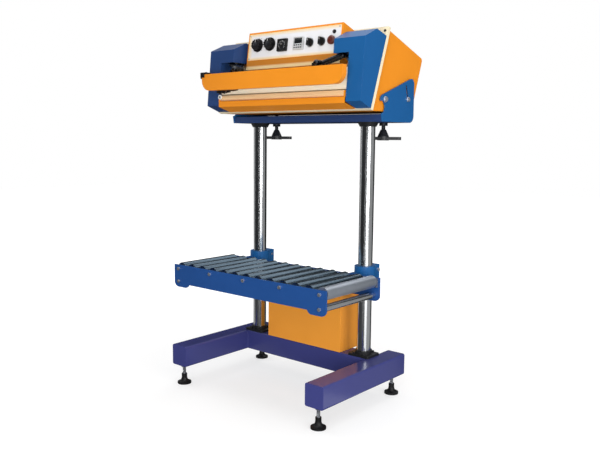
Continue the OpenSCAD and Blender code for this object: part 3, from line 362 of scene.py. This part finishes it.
def rubber_strip():
    n = Nodes("silicone_rubber")
    normal, _ = n.rounded(0.001)
    n.set(Base_Color=n.mixed(n.noise(12, 4), linear(250, 238, 212), linear(254, 246, 228)))
    n.set(Roughness=n.varied(n.noise(80, 4), 0.45, 0.6))
    n.set(Normal=n.bump(n.noise(500, 3), 0.15, 0.0003, normal))
    n.set(Subsurface_Weight=0.1, Subsurface_Radius=(0.004, 0.003, 0.002))
    return n.material


def glass_cloth():
    """Coated glass cloth: a fine plain weave under a tan coating."""
    n = Nodes("release_cloth")
    weave = n.math("MULTIPLY", n.wave(420, "X"), n.wave(420, "Z"))
    n.set(Base_Color=n.mixed(weave, linear(246, 198, 142), linear(255, 224, 174)))
    n.set(Roughness=n.varied(n.noise(40, 4), 0.38, 0.55))
    n.set(Normal=n.bump(weave, 0.4, 0.0003))
    n.set(Sheen_Weight=0.15)
    return n.material


def dark_window():
    n = Nodes("dark_display")
    n.set(Base_Color=n.mixed(n.noise(25, 3), linear(20, 24, 26), linear(34, 38, 40)))
    n.set(Roughness=n.varied(n.noise(60, 4), 0.06, 0.16))
    n.set(Coat_Weight=0.6, Coat_Roughness=0.05)
    return n.material


orange = paint("orange_enamel", ORANGE)
low_orange = paint("lower_cover_enamel", linear(238, 146, 36), rough=0.5, gloss=0.08)
# A lighter orange than the head's: painted light, lifting the cabinet out of the shade under the table
cabinet_lit_orange = paint("cabinet_enamel_painted_light", linear(252, 164, 58))
box_orange_with_shade_strip = paint("box_enamel_with_painted_shade", ORANGE, second=shade_strip_below_panel)
cover_blue = paint("cover_blue_enamel", linear(27, 92, 152), rough=0.36, gloss=0.2)
# A darker copy of the cover blue for the left cover: painted shade, the cover being the same paint as the
# right one
left_cover_shaded_blue = paint("left_cover_shaded_enamel", linear(36, 65, 116), rough=0.36, gloss=0.2)
# A darker navy than the ears' blue for the tray: painted shade, as the tray lies in shade under the head
tray_shaded_blue = paint("tray_shaded_enamel", linear(40, 64, 112), rough=0.36, gloss=0.2)
frame_blue = paint("frame_blue_enamel", linear(62, 66, 127), rough=0.2, gloss=0.5)
table_blue = paint("table_blue_enamel", linear(32, 76, 140))
cream = paint("cream_enamel", linear(248, 232, 196), rough=0.34, tone=0.03, wear=1.05)
panel_white = paint("panel_white", linear(242, 243, 247), rough=0.36, tone=0.015, wear=0.9,
    radius=0.0006, second=cream_border)
black_paint = paint("black_satin", linear(30, 31, 34), rough=0.38, tone=0.12, wear=2.2)

black_plastic = plastic("black_grained_plastic", linear(16, 16, 18), gloss=0.3)
dark_plastic = plastic("dark_gloss_plastic", linear(40, 42, 46), rough=0.25, strength=0.08)
grey_plastic = plastic("grey_plastic", linear(196, 198, 200), rough=0.4)
red_plastic = plastic("red_plastic", linear(88, 32, 21), rough=0.3, strength=0.08)
white_mark = plastic("white_marks", linear(235, 235, 232), rough=0.5)
black_mark = plastic("black_marks", linear(38, 38, 42), rough=0.55)

chrome = metal("hard_chrome", linear(222, 224, 226), rough=0.1, along=(40, 40, 1), line_scale=30,
    strength=0.03, tone=0.03)
steel = metal("zinc_plated_steel", linear(190, 194, 200), rough=0.32)
bolt_steel = metal("bolt_steel", linear(206, 210, 218), rough=0.45)
arm_steel = metal("dark_arm_steel", linear(58, 60, 64), rough=0.24, line_scale=120)
aluminium = metal("milled_aluminium", linear(236, 228, 206), rough=0.4, along=(1, 30, 30), line_scale=24)
roller_steel = roller_metal("roller_steel", linear(112, 132, 148), 0.2)
# The end roller's brighter, rougher steel is a painted highlight: it is the same roller as the rest, lit
# along its side
end_roller_highlight_steel = roller_metal("end_roller_painted_highlight_steel", linear(206, 214, 226), 0.36)

threaded = threaded_steel()
knob_finish = knob_and_screw()
silicone = rubber_strip()
cloth = glass_cloth()
display = dark_window()

FINISHES = {
    orange: ["head_shell", "front_jaw_cover"],
    low_orange: ["lower_front_cover"],
    cabinet_lit_orange: ["cabinet_shell", "cabinet_rear_cover"],
    box_orange_with_shade_strip: ["control_box"],
    cover_blue: ["left_ear", "right_ear", "right_cover", "table_clamps"],
    left_cover_shaded_blue: ["left_cover"],
    tray_shaded_blue: ["bracket_tray"],
    frame_blue: ["left_foot_beam", "right_foot_beam", "cross_beam"],
    table_blue: ["front_side_plate", "rear_side_plate"],
    cream: ["head_front_pan"],
    panel_white: ["control_panel"],
    black_paint: ["column_base_flanges", "flange_bolts", "column_top_collars"],
    black_plastic: ["levelling_pads", "heat_dial", "cool_dial", "left_selector", "right_selector",
        "panel_meters"],
    red_plastic: ["stop_button"],
    knob_finish: ["left_hand_knob", "right_hand_knob"],
    chrome: ["left_column", "right_column", "table_ties"],
    steel: ["roller_carriers", "roller_axles", "air_cylinders"],
    bolt_steel: ["table_bolts", "pivot_bolts", "tilt_lock_bolts"],
    arm_steel: ["jaw_arms"],
    aluminium: ["rear_jaw_bar", "front_jaw_bar"],
    roller_steel: [f"roller_{i:02d}" for i in range(1, 13)],
    end_roller_highlight_steel: ["roller_13"],
    threaded: ["levelling_screws"],
    silicone: ["rear_seal_strip"],
    cloth: ["cloth_roll", "heating_strip"],
}
for finish, names in FINISHES.items():
    for name in names:
        mesh = nodes[name].data
        mesh.materials.clear()
        mesh.materials.append(finish)


# Mesh helpers

WELD = 1e-6
SHARP = math.radians(35)


def frame_at(origin, x_axis, y_axis):
    """A matrix from millimetres in a local frame to the shared frame."""
    x_axis, y_axis = Vector(x_axis).normalized(), Vector(y_axis).normalized()
    z_axis = x_axis.cross(y_axis)
    m = Matrix.Identity(4)
    for row in range(3):
        for column, axis in enumerate((x_axis, y_axis, z_axis)):
            m[row][column] = axis[row] * MM
        m[row][3] = origin[row]
    return m


def shifted(m, x, y, z=0):
    return m @ Matrix.Translation((x, y, z))


def turned(bm, profile, m, segments=48, index=0):
    """Turns (radius, height) points round the local z axis. A radius may be a function of the angle."""
    rings = []
    for radius, height in profile:
        if radius == 0:
            rings.append([bm.verts.new(m @ Vector((0, 0, height)))])
            continue
        ring = []
        for i in range(segments):
            a = 2 * math.pi * i / segments
            r = radius(a) if callable(radius) else radius
            ring.append(bm.verts.new(m @ Vector((r * math.cos(a), r * math.sin(a), height))))
        rings.append(ring)
    for low, high in zip(rings, rings[1:]):
        for i in range(segments):
            j = (i + 1) % segments
            corners = [low[i % len(low)], low[j % len(low)], high[j % len(high)], high[i % len(high)]]
            kept = [v for k, v in enumerate(corners) if v not in corners[:k]]
            if len(kept) > 2:
                bm.faces.new(kept).material_index = index


def hexagon(flats):
    """The radius of a hexagon at an angle."""
    return lambda a: flats / 2 / math.cos((a % (math.pi / 3)) - math.pi / 6)


def block(bm, low, high, m, edge=0.8, index=0, segments=2):
    """A box between two corners with rounded edges."""
    part = bmesh.new()
    bmesh.ops.create_cube(part, size=1)
    low, high = Vector(low), Vector(high)
    for v in part.verts:
        v.co = Vector([low[k] + (v.co[k] + 0.5) * (high[k] - low[k]) for k in range(3)])
    bmesh.ops.bevel(part, geom=part.edges[:], offset=edge, segments=segments, affect="EDGES", profile=0.5)
    for f in part.faces:
        f.material_index = index
    part.transform(m)
    held = bpy.data.meshes.new("held")
    part.to_mesh(held)
    part.free()
    bm.from_mesh(held)
    bpy.data.meshes.remove(held)


def spoke(bm, m, angle, reach, width, heights, index=0):
    """A flat bar that runs outward from the local axis, between two radii and two heights."""
    turn = m @ Matrix.Rotation(angle, 4, "Z")
    (r0, r1), (z0, z1) = reach, heights
    edge = min(width, z1 - z0) * 0.2
    block(bm, (r0, -width / 2, z0), (r1, width / 2, z1), turn, edge, index, segments=1)


def screw(bm, m, head=7, socket=3, height=2.4):
    """A button-head screw with a hexagon socket, standing on the local plane z = 0."""
    r = head / 2
    turned(bm, [(0, 0), (r, 0), (r, 0.35 * height), (0.86 * r, 0.75 * height), (0.62 * r, height),
        (hexagon(socket * 1.06), height), (hexagon(socket), height - 0.2), (hexagon(socket), 0.3 * height),
        (0, 0.25 * height)], m, 36)


def piece(name, bm, finishes, body, stands_for=()):
    """A mesh piece that rides on a body."""
    bmesh.ops.remove_doubles(bm, verts=bm.verts[:], dist=WELD)
    bmesh.ops.recalc_face_normals(bm, faces=bm.faces[:])
    mesh = bpy.data.meshes.new(name)
    bm.to_mesh(mesh)
    bm.free()
    for finish in finishes:
        mesh.materials.append(finish)
    mesh.shade_smooth()
    mesh.set_sharp_from_angle(angle=SHARP)
    made = bpy.data.objects.new(name, mesh)
    scene.collection.objects.link(made)
    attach(made, body)
    if stands_for:
        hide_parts(*stands_for)


# The control panel's frame: x across, y up the panel, z outward from the panel's face
PANEL_FACE = 3.05
CONTROL_UP = 92
DIAL_UP = 102
STRAIGHT_UP = math.pi / 2
panel = frame_at(PANEL_FOOT + OUT_PANEL * PANEL_FACE * MM, (1, 0, 0), UP_PANEL)

SCREW_OUT = 241
SCREW_UPS = (47, 145)
bm = bmesh.new()
for x in (-SCREW_OUT, SCREW_OUT):
    for y in SCREW_UPS:
        screw(bm, shifted(panel, x, y), head=6.5, socket=2.8, height=2)
piece("panel_screws", bm, [steel], "head")

# Dial scales on the panel, and the pointers and hub caps that turn with the dials
DIALS = {"heat_dial": -193, "cool_dial": -122}
SWEEP = math.radians(135)
SCALE_STEPS = 30
SCALE_R = 29.5
SCALE_HEIGHTS = (-0.05, 0.15)
MARK_SIZES = {True: (4, 0.9), False: (2, 0.5)}
bm = bmesh.new()
for x in DIALS.values():
    at = shifted(panel, x, DIAL_UP)
    for i in range(SCALE_STEPS + 1):
        long, wide = MARK_SIZES[i % 3 == 0]
        angle = STRAIGHT_UP + SWEEP - 2 * SWEEP * i / SCALE_STEPS
        spoke(bm, at, angle, (SCALE_R, SCALE_R + long), wide, SCALE_HEIGHTS)
piece("dial_scales", bm, [black_mark], "head")

RUNNING_GAP = 0.3
MARK_T = 0.4
DIAL_FACE = 21.9
DIAL_SKIRT = 5.4
for body, x in DIALS.items():
    at = shifted(panel, x, DIAL_UP, RUNNING_GAP)
    bm = bmesh.new()
    for reach, width, foot in (((5, 18.5), 1.8, DIAL_FACE), ((22.4, 27.6), 1.4, DIAL_SKIRT)):
        spoke(bm, at, STRAIGHT_UP, reach, width, (foot, foot + MARK_T))
    turned(bm, [(0, 21.95), (10, 21.95), (10, 22.5), (9.2, 22.9), (3, 23.1), (0, 23.1)], at, 40, index=1)
    piece(body + "_pointer", bm, [white_mark, dark_plastic], body)

# Selector bezels on the panel, and the pointers that turn with the knobs
SELECTORS = {"left_selector": 97, "right_selector": 157}
SELECTOR_FACE = 19.9
for body, x in SELECTORS.items():
    at = shifted(panel, x, CONTROL_UP)
    bm = bmesh.new()
    turned(bm, [(15.3, 0), (19, 0), (19, 0.9), (18.2, 1.5), (16, 1.5), (15.3, 1.1), (15.3, 0)], at, 56)
    piece(body + "_bezel", bm, [steel], "head")
    at = shifted(panel, x, CONTROL_UP, RUNNING_GAP)
    bm = bmesh.new()
    spoke(bm, at, STRAIGHT_UP, (4, 13.5), 1.6, (SELECTOR_FACE, SELECTOR_FACE + MARK_T))
    piece(body + "_pointer", bm, [white_mark], body)

STOP_X = 210
bm = bmesh.new()
turned(bm, [(9.4, 0), (16, 0), (16, 0.4), (15.4, 0.8), (10, 0.8), (9.4, 0.5), (9.4, 0)],
    shifted(panel, STOP_X, CONTROL_UP), 56)
piece("stop_collar", bm, [steel], "head")

# Timer, counter and fuse holder, which stand for the plain frames on the panel
HALF = 26
INNER = HALF - 1
METER_EDGE = 2.2
TIMER_X = -49
TIMER_T = 9
RIM = 23
RIM_HALF = 2.4
RIM_LOW, RIM_TOP = 8, 11.9
TIMER_MARKS = 13
MARK_STEP = 22.5
bm = bmesh.new()
at = shifted(panel, TIMER_X, CONTROL_UP)
block(bm, (-HALF, -HALF, 0), (HALF, HALF, TIMER_T), at, METER_EDGE, segments=3)
for side in (-1, 1):
    near, far = side * RIM - RIM_HALF, side * RIM + RIM_HALF
    block(bm, (near, -INNER, RIM_LOW), (far, INNER, RIM_TOP), at, edge=1)
    block(bm, (-INNER, near, RIM_LOW), (INNER, far, RIM_TOP), at, edge=1)
turned(bm, [(9, 8.9), (20.2, 8.9), (20.2, 9.8), (19.4, 10.3), (9, 10.3), (9, 8.9)], at, 56, index=1)
turned(bm, [(0, 8.9), (8.6, 8.9), (8.6, 11), (7.4, 11.9), (0, 11.9)], at, 40)
spoke(bm, at, math.radians(120), (1, 8), 1.2, (11.7, 12), index=2)
for i in range(TIMER_MARKS):
    spoke(bm, at, math.radians(225 - MARK_STEP * i), (14, 18), 0.7, (10.2, 10.45), index=2)
piece("timer", bm, [black_plastic, dark_plastic, white_mark], "head", ["panel_meters"])

COUNTER_X = 40
COUNTER_T = 8
COUNTER_LOW, COUNTER_TOP = 7, 11.5
CHEEK = 23.6
CHEEK_HALF = 2
KEYS = 4
KEY_PITCH = 10.8
KEY_HALF = 3.6
KEY_LOW, KEY_TOP = 11, 12.3
KEY_ROWS = ((-10, -5), (-20, -15))
bm = bmesh.new()
at = shifted(panel, COUNTER_X, CONTROL_UP)
block(bm, (-HALF, -HALF, 0), (HALF, HALF, COUNTER_T), at, METER_EDGE, segments=3)
for side in (-1, 1):
    near, far = side * CHEEK - CHEEK_HALF, side * CHEEK + CHEEK_HALF
    block(bm, (near, -INNER, COUNTER_LOW), (far, INNER, COUNTER_TOP), at, edge=1)
for low, high in ((21.6, HALF - 0.6), (-HALF + 0.6, -1.2)):
    block(bm, (-INNER, low, COUNTER_LOW), (INNER, high, COUNTER_TOP), at, edge=1)
block(bm, (-21.8, -1, 7.6), (21.8, 21.8, 8.8), at, edge=0.3, index=1)
for i in range(KEYS):
    x = (i - (KEYS - 1) / 2) * KEY_PITCH
    for low, high in KEY_ROWS:
        block(bm, (x - KEY_HALF, low, KEY_LOW), (x + KEY_HALF, high, KEY_TOP), at, index=2)
piece("counter", bm, [grey_plastic, display, dark_plastic], "head")

FUSE_X = 217
FUSE_UP = 126
bm = bmesh.new()
at = shifted(panel, FUSE_X, FUSE_UP)
turned(bm, [(0, 0), (8.2, 0), (8.2, 1.4), (7.4, 2), (6, 2), (6, 6), (5.2, 7), (2.6, 7), (2.6, 6.2),
    (0, 6.2)], at, 40)
spoke(bm, at, math.radians(45), (-3, 3), 1, (6.1, 6.6), index=1)
piece("fuse_holder", bm, [black_plastic, steel], "head")

# Screws in the free top corners of the front pan
HEAD_TILT = math.radians(19)
PIVOT_Y, PIVOT_Z = -48, 1232
PAN_SCREW_X = 404
PAN_FRONT = -85
PAN_SCREW_UP = 247
pan_up = Vector((0, math.sin(HEAD_TILT), math.cos(HEAD_TILT)))
pan_back = Vector((0, math.cos(HEAD_TILT), -math.sin(HEAD_TILT)))
bm = bmesh.new()
for x in (-PAN_SCREW_X, PAN_SCREW_X):
    spot = Vector((x, PIVOT_Y, PIVOT_Z)) + pan_back * PAN_FRONT + pan_up * PAN_SCREW_UP
    screw(bm, frame_at(world(*spot), (1, 0, 0), pan_up), head=11, socket=5, height=4)
piece("pan_screws", bm, [black_paint], "head")

# The wound roll of release cloth between its cheeks, with the lap of the cloth's free edge
ROLL_Y, ROLL_Z = -209, 1249
HALF_ROLL = 336.5
HALF_PIN = 342
ROLL_R = 11.8
CORE_R = 4
TURNS = 9
LAP_STEPS = 14
roll = frame_at(world(0, ROLL_Y, ROLL_Z), (0, 1, 0), (0, 0, 1))
face_r = ROLL_R - 0.2
bm = bmesh.new()
turned(bm, [(face_r, -HALF_ROLL), (ROLL_R, -HALF_ROLL + 0.4), (ROLL_R, HALF_ROLL - 0.4),
    (face_r, HALF_ROLL)], roll, 72)
for end in (-1, 1):
    rings = []
    for i in range(TURNS):
        r = face_r - i * 0.9
        rings += [(r, end * HALF_ROLL), (r - 0.35, end * (HALF_ROLL + 0.25)), (r - 0.7, end * HALF_ROLL)]
    pin = [(CORE_R, HALF_ROLL), (CORE_R, HALF_PIN - 0.5), (CORE_R - 0.6, HALF_PIN), (0, HALF_PIN)]
    turned(bm, rings + [(r, end * z) for r, z in pin], roll, 72)
lap = [(ROLL_R + 0.04 + 0.02 * i, math.radians(150 + 4 * i)) for i in range(LAP_STEPS + 1)]
lap += [(ROLL_R - 0.4, angle) for _, angle in reversed(lap)]
ends = []
for z in (-HALF_ROLL + 0.5, HALF_ROLL - 0.5):
    ends.append([bm.verts.new(roll @ Vector((r * math.cos(a), r * math.sin(a), z))) for r, a in lap])
    bm.faces.new(ends[-1])
for i in range(len(lap)):
    j = (i + 1) % len(lap)
    bm.faces.new((ends[0][i], ends[0][j], ends[1][j], ends[1][i]))
piece("release_roll", bm, [cloth], "head", ["cloth_roll"])

# Cable clip at the left end of the front jaw
level = frame_at(world(0, 0, 0), (1, 0, 0), (0, 1, 0))
CLIP_CORNER = (-386, -289, 1330)
clip = shifted(level, *CLIP_CORNER)
bm = bmesh.new()
block(bm, (1, 1, 19), (36, 31, 27), clip, edge=2.5, segments=3)
block(bm, (0, 1, 0), (6, 31, 26), clip, edge=2, segments=3)
block(bm, (0, 0, 5), (24, 4, 27), clip, edge=1.8, segments=3)
screw(bm, shifted(clip, 20, 17, 26.8), head=9, socket=4, height=3)
piece("jaw_end_clip", bm, [black_plastic], "front_jaw")

# The boss beside the rear jaw; its shallow centre recess is floored with black plastic, painted shade
# standing for a deep hole
BOSS_PLACE = (-332, -221, 1254)
boss = frame_at(world(*BOSS_PLACE), (1, 0, 0), (0, 0, 1))
bm = bmesh.new()
turned(bm, [(0, -14), (4, -14), (4, -2), (10, -2), (10, 3), (9, 4.4), (5.4, 4.4), (5, 3.6), (5, 2.4)], boss)
turned(bm, [(5, 2.4), (4.4, 1.4), (0, 1.4)], boss, index=1)
piece("jaw_boss", bm, [white_mark, black_plastic], "head")

# The heating strip's terminals, which hang under the front jaw bar
BAR_FOOT = 1288.2
TERMINAL_Y = -249
TERMINAL_XS = (-306, -278)
TERMINAL_H = 20.2
terminals = shifted(level, 0, TERMINAL_Y, BAR_FOOT)
bm = bmesh.new()
for x in TERMINAL_XS:
    block(bm, (x - 11, -9, -TERMINAL_H), (x + 11, 9, 0), terminals, edge=1.5)
    foot = terminals @ Vector((x, 0, -TERMINAL_H))
    screw(bm, frame_at(foot, (1, 0, 0), (0, -1, 0)), head=8, socket=3.5, height=3)
block(bm, (-294, -4, -16.2), (-250, 4, -13.2), terminals, edge=1, index=1)
block(bm, (-260, -5, -18.2), (-244, 5, 0), terminals, edge=2, segments=3)
block(bm, (-246, -3, -13.2), (-206, 3, -7.2), terminals, edge=1.4)
block(bm, (-212, -4, -11.2), (-196, 4, 0), terminals, edge=2, segments=3)
piece("strip_terminals", bm, [black_plastic, steel], "front_jaw")

# Screws of the cabinet's rear cover, none in its middle
COVER_BACK = 89
COVER_SCREW_X = 196
COVER_SCREW_MID, COVER_SCREW_STEP = 305, 118
bm = bmesh.new()
for column in (-1, 0, 1):
    for row in (-1, 0, 1):
        if column or row:
            spot = world(column * COVER_SCREW_X, COVER_BACK, COVER_SCREW_MID + row * COVER_SCREW_STEP)
            screw(bm, frame_at(spot, (-1, 0, 0), (0, 0, 1)), head=8, socket=3.4, height=3)
piece("rear_cover_screws", bm, [steel], "frame")

# Weld beads where the cross beam meets the foot beams
JOINT_X = 335
BEAD_PITCH = 4.0
BEAD_R = 3
BEAD_STRETCH = 0.8
WELDS = [((-44, 97), (0, 0, 1), 17), ((60, 97), (0, 0, 1), 17), ((-34, 175), (0, 1, 0), 21)]
bm = bmesh.new()
for side in (-1, 1):
    for (y, z), run, count in WELDS:
        run = Vector(run)
        stretch = Vector((BEAD_R, BEAD_R, BEAD_R)) + run * BEAD_STRETCH
        for i in range(count):
            centre = Vector((side * JOINT_X, y, z)) + run * (i * BEAD_PITCH)
            bead = bmesh.ops.create_uvsphere(bm, u_segments=10, v_segments=6, radius=1)
            for v in bead["verts"]:
                v.co = world(*(centre + v.co * stretch))
piece("weld_beads", bm, [frame_blue], "frame")


# Stage: a floor that shows white and keeps the shadow, a white world, screens for the chrome and soft lamps

def stage_mesh(name, bm, finish):
    """A mesh of the stage, which is no part of the object."""
    mesh = bpy.data.meshes.new(name)
    bm.to_mesh(mesh)
    bm.free()
    mesh.materials.append(finish)
    made = bpy.data.objects.new(name, mesh)
    scene.collection.objects.link(made)
    return made


HALF_FLOOR = 12
GLOW_NEAR, GLOW_FAR = 0.9, 2.6
n = Nodes("floor_white")
n.set(Base_Color=n.mixed(n.noise(2, 3), linear(176, 176, 176), linear(180, 180, 180)), Roughness=0.9)
n.set(Specular_IOR_Level=0.0)
away = n.add("ShaderNodeVectorMath", operation="LENGTH")
n.link(n.place, away.inputs[0])
glow = n.add("ShaderNodeEmission")
glow.inputs["Color"].default_value = WHITE
strength = n.spread(away.outputs["Value"], GLOW_NEAR, GLOW_FAR, 0.62, 1.0)
n.link(n.math("MULTIPLY", n.seen_by_eye(), strength), glow.inputs["Strength"])
both = n.add("ShaderNodeAddShader")
n.link(n.shader.outputs[0], both.inputs[0])
n.link(glow.outputs[0], both.inputs[1])
n.link(both.outputs[0], n.out.inputs["Surface"])
bm = bmesh.new()
bmesh.ops.create_grid(bm, x_segments=1, y_segments=1, size=HALF_FLOOR)
stage_mesh("floor", bm, n.material)

# Dark and grey screens that only mirrors see: a wall round the machine and the floor inside it
SCREEN_RADIUS, SCREEN_HIGH = 3.4, 3.2
SCREEN_STEPS = 24
SCREEN_FOOT = Vector((0.3, 0.0955, 0.002))


def screen(name, glow, start, end):
    """A standing wall and a fan on the floor between two bearings, counted from the camera's."""
    bm = bmesh.new()
    apex = bm.verts.new(SCREEN_FOOT)
    before = None
    for i in range(SCREEN_STEPS + 1):
        a = AZIMUTH + math.radians(start + (end - start) * i / SCREEN_STEPS - 90)
        x, y = SCREEN_RADIUS * math.cos(a), SCREEN_RADIUS * math.sin(a)
        edge = [bm.verts.new((x, y, z)) for z in (SCREEN_FOOT.z, SCREEN_HIGH)]
        if before:
            bm.faces.new(before + edge[::-1])
            bm.faces.new((apex, before[0], edge[0]))
        before = edge
    n = Nodes(name)
    n.set(Base_Color=n.mixed(n.noise(2, 3), linear(26, 28, 30), linear(34, 36, 38)), Roughness=0.9)
    n.set(Emission_Color=WHITE, Emission_Strength=glow)
    made = stage_mesh(name, bm, n.material)
    made.visible_camera = False
    made.visible_diffuse = False
    made.visible_shadow = False


screen("grey_screen", glow=0.28, start=38, end=100)
screen("rear_screen", glow=0, start=100, end=214)
screen("left_screen", glow=0.3, start=214, end=256)
screen("front_screen", glow=0, start=256, end=366)

AMBIENT = 0.26
scene.world = bpy.data.worlds.new("studio")
scene.world.use_nodes = True
n = Tree(scene.world.node_tree)
ambient = n.add("ShaderNodeBackground")
ambient.inputs["Strength"].default_value = AMBIENT
backdrop = n.add("ShaderNodeBackground")
for shade in (ambient, backdrop):
    shade.inputs["Color"].default_value = WHITE
pick = n.add("ShaderNodeMixShader")
n.link(n.seen_by_eye(), pick.inputs[0])
n.link(ambient.outputs[0], pick.inputs[1])
n.link(backdrop.outputs[0], pick.inputs[2])
n.link(pick.outputs[0], n.add("ShaderNodeOutputWorld").inputs["Surface"])


def lamp(name, spot, aim_z, size, watts):
    """A soft lamp that looks at the machine's middle at a height, unseen by the camera."""
    data = bpy.data.lights.new(name, "AREA")
    data.shape = "RECTANGLE"
    data.size, data.size_y = size
    data.energy = watts
    made = bpy.data.objects.new(name, data)
    spot = Vector(spot)
    look = (Vector((0, 0, aim_z)) - spot).to_track_quat("-Z", "Y").to_matrix().to_4x4()
    made.matrix_world = Matrix.Translation(spot) @ look
    scene.collection.objects.link(made)
    made.visible_camera = False


lamp("key", spot=(2.2, -3.0, 2.8), aim_z=0.8, size=(2.6, 2.0), watts=42)
lamp("front", spot=(2.0, -3.2, 0.62), aim_z=0.7, size=(2.2, 1.1), watts=70)
lamp("side", spot=(4.2, -0.8, 1.5), aim_z=0.9, size=(2.6, 2.2), watts=70)
lamp("left", spot=(-4.2, -0.6, 1.5), aim_z=0.9, size=(2.6, 2.2), watts=46)
lamp("top", spot=(0, 0.2, 4.6), aim_z=0.8, size=(3.6, 3.0), watts=75)
lamp("rear", spot=(-1.5, 4.2, 2.4), aim_z=0.9, size=(3.2, 2.4), watts=60)
